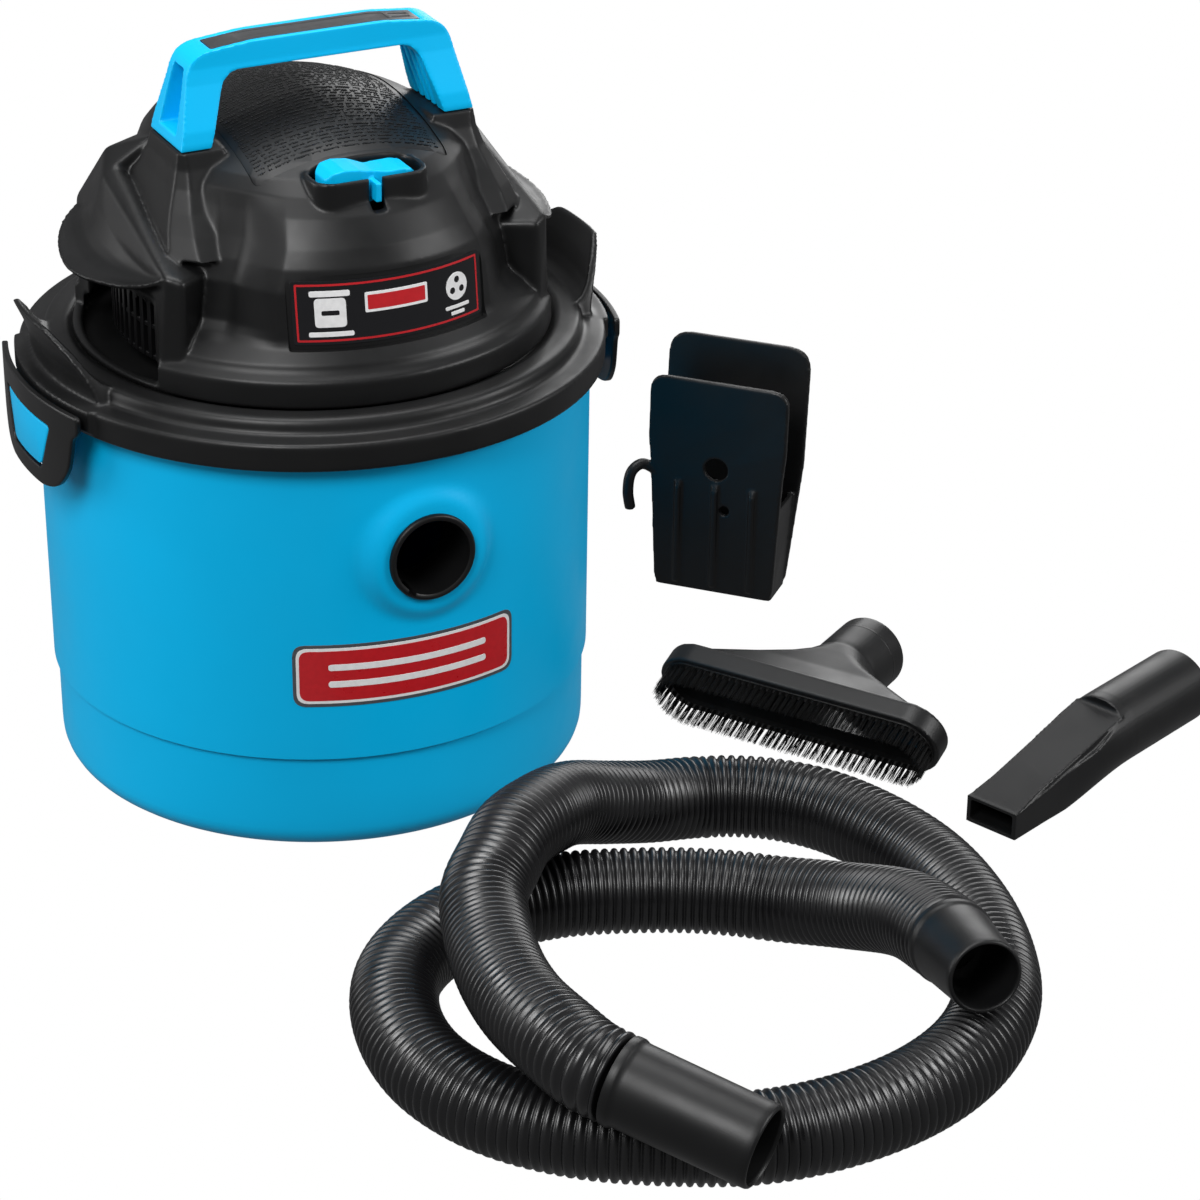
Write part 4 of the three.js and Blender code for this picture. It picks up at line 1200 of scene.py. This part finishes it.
def crevice_section(t):
    """A section of the crevice tool, from its slot at t = 0 to its round socket at t = 1."""
    blend = smoothstep(t, 0.25, 1.0)
    ring = []
    for i in range(48):
        a = 2 * math.pi * (i + 0.5) / 48
        c, s = math.cos(a), math.sin(a)
        flat_y = 14 * math.copysign(min(abs(c) * 1.5, 1), c)
        flat_z = 7 * math.copysign(min(abs(s) * 1.9, 1), s)
        flat = Vector((0, flat_y, 7 + 4.5 * t + flat_z * (1 + 0.9 * t)))
        point = flat.lerp(Vector((0, TOOL_R * c, TOOL_AXIS_Z + TOOL_R * s)), blend)
        point.x = 92 * t
        point.z = max(point.z, 0.1)
        ring.append(point)
    return ring


def make_crevice():
    """A flat slot that widens into a round socket, with a slanting face let into its top."""
    body = skin([crevice_section(k / 14) for k in range(15)])
    tool = join(body, tube([(90, TOOL_R), (149.4, TOOL_R), (150, TOOL_R - 0.5)], 0.001))
    face = hull([(x, y, z) for x, z in ((-5, 14.6), (30, 18.5), (62, 24), (84, 33.0), (84, 60), (-5, 60))
                 for y in (-40, 40)])
    cut(tool, face)
    plate = hull([(0.4, y, 13.9) for y in (-13, 13)] + [(84, y, 32.6) for y in (-13.5, 13.5)]
                 + [(0.4, y, 9) for y in (-13, 13)] + [(84, y, 22) for y in (-13.5, 13.5)])
    tool = join(tool, plate)
    bore = tube([(91, TOOL_BORE_R), (160, TOOL_BORE_R)], 0.001)
    inside = hull([(x, y, z) for x, w, low, high in ((-4, 11.8, 2.2, 11.6), (60, 12, 3, 20), (93, 12, 8, 28))
                   for y in (-w, w) for z in (low, high)])
    cut(tool, bore, inside)
    tool = moulded(tool, 0.7, 3, 0.6)
    piece("crevice_body", moved(tool, CREVICE_PLACE), BLACK, "crevice", ["crevice_tool"])


def rod(points, radius):
    """A round rod along a smooth curve through points."""
    centres, _ = evenly(smooth_route(points, 12), 40)
    ahead = np.gradient(centres, axis=0)
    rings = []
    for centre, direction in zip(centres, ahead):
        direction = direction / np.linalg.norm(direction)
        across = np.cross(direction, (0.3, 1, 0.1))
        across /= np.linalg.norm(across)
        other = np.cross(direction, across)
        rings.append([centre + radius * (math.cos(a) * across + math.sin(a) * other)
                      for a in np.linspace(0, 2 * math.pi, 16, endpoint=False)])
    return skin(rings)


def make_bracket():
    """Two plates joined by cheeks and a sole, with ribs, a hook and an ear for a screw."""
    front = prism(rounded([(-32, 3), (32, 3), (35.4, 70), (37, 86), (37, 119), (-37, 119), (-37, 86),
                           (-35.4, 70)], [6, 6, 2, 2, 9, 9, 2, 2]), "y", 0, 3)
    for v in front.data.vertices:
        v.co.y += 2.2 * smoothstep(v.co.z, 80, 119) - 1.4 * (1 - smoothstep(v.co.z, 3, 82)) + 1.4
    back = prism(rounded([(-32, 3), (32, 3), (38, 70), (38, 131.5), (-38, 131.5), (-38, 70)],
                         [6, 6, 2, 12, 12, 2]), "y", 0, 3)
    moved(back, shift(0, 21, 0) @ rotation(-6.6, "X"))
    cheeks = [
        hull([(s * x, y, z) for x, y, z in (
            (31.5, 1.5, 3.5), (29, 1.5, 3.5), (31.5, 22.5, 3.5), (29, 22.5, 3.5), (33.4, 1.5, 54),
            (31, 1.5, 54), (34.5, 28, 54), (32, 28, 54))])
        for s in (-1, 1)
    ]
    sole = block(-31, 31, 0.5, 23, 3, 6)
    body = join(front, back, *cheeks, sole)
    for outline, low, high in ((circle(0, 72, 6.2), -10, 10), (circle(5, 50, 2.6), -10, 10),
                               (circle(0, 72, 3), 15, 60)):
        cut(body, prism(outline, "y", low, high))
    profile = ((0.6, 5), (-1.2, 7), (-1.2, 60), (0.6, 64))
    ribs = [hull([(x + dx, y, z) for dx in (-1.5, 1.5) for y, z in profile]) for x in (-20, 0, 20)]
    ear = cut(prism(circle(0, 14.8, 14.4), "y", 20.5, 23.4), prism(circle(0, 9, 2.6, 24), "y", 10, 40))
    hook = rod([(-33, 4, 66), (-40, 2, 69), (-44, -3, 66), (-45, -5.5, 56), (-44, -4.5, 46)], 2.9)
    bracket = moulded(join(body, *ribs, ear, hook), 0.7, 3, 0.5)
    piece("bracket_body", moved(bracket, BRACKET_PLACE), BLACK, "bracket", ["wall_bracket"])


# ------------ CAD nodes that stay


KEPT = {
    "rim_seal": RUBBER, "switch_body": BLACK, "impeller_housing": BLACK, "impeller": ALUMINIUM,
    "motor_gasket": RUBBER, "motor_base": STEEL, "lower_bearing": STEEL, "field_core": STEEL,
    "field_coil_front": COPPER, "field_coil_back": COPPER, "armature": STEEL, "commutator": COPPER,
    "motor_shaft": STEEL, "brush_holder_left": COPPER, "brush_holder_right": COPPER,
    "motor_top_bracket": STEEL, "upper_bearing": STEEL, "cooling_fan": PALE, "filter_cage": BLACK,
    **{f"cover_screw_{i}": STEEL for i in (1, 2, 3, 4)},
}


def dress_nodes():
    """Gives every CAD node that stays its finish and a small rounded edge."""
    for name, material in KEPT.items():
        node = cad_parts[name]
        node.data.materials.clear()
        node.data.materials.append(material)
        add_bevel(node, 0.3 * MM, 2, 40)


# ------------ the scene

make_camera()
make_world()
make_lights()
make_floor()
make_hose()
make_drum()
make_inlet()
make_badge()
make_lid()
make_latches()
make_cover()
make_top_panel()
make_grilles()
make_front_label()
make_handle()
make_inlay()
make_switch()
make_gland()
make_filter()
make_nozzle()
make_bristles()
make_crevice()
make_bracket()
dress_nodes()

bpy.context.scene.view_settings.view_transform = "Standard"
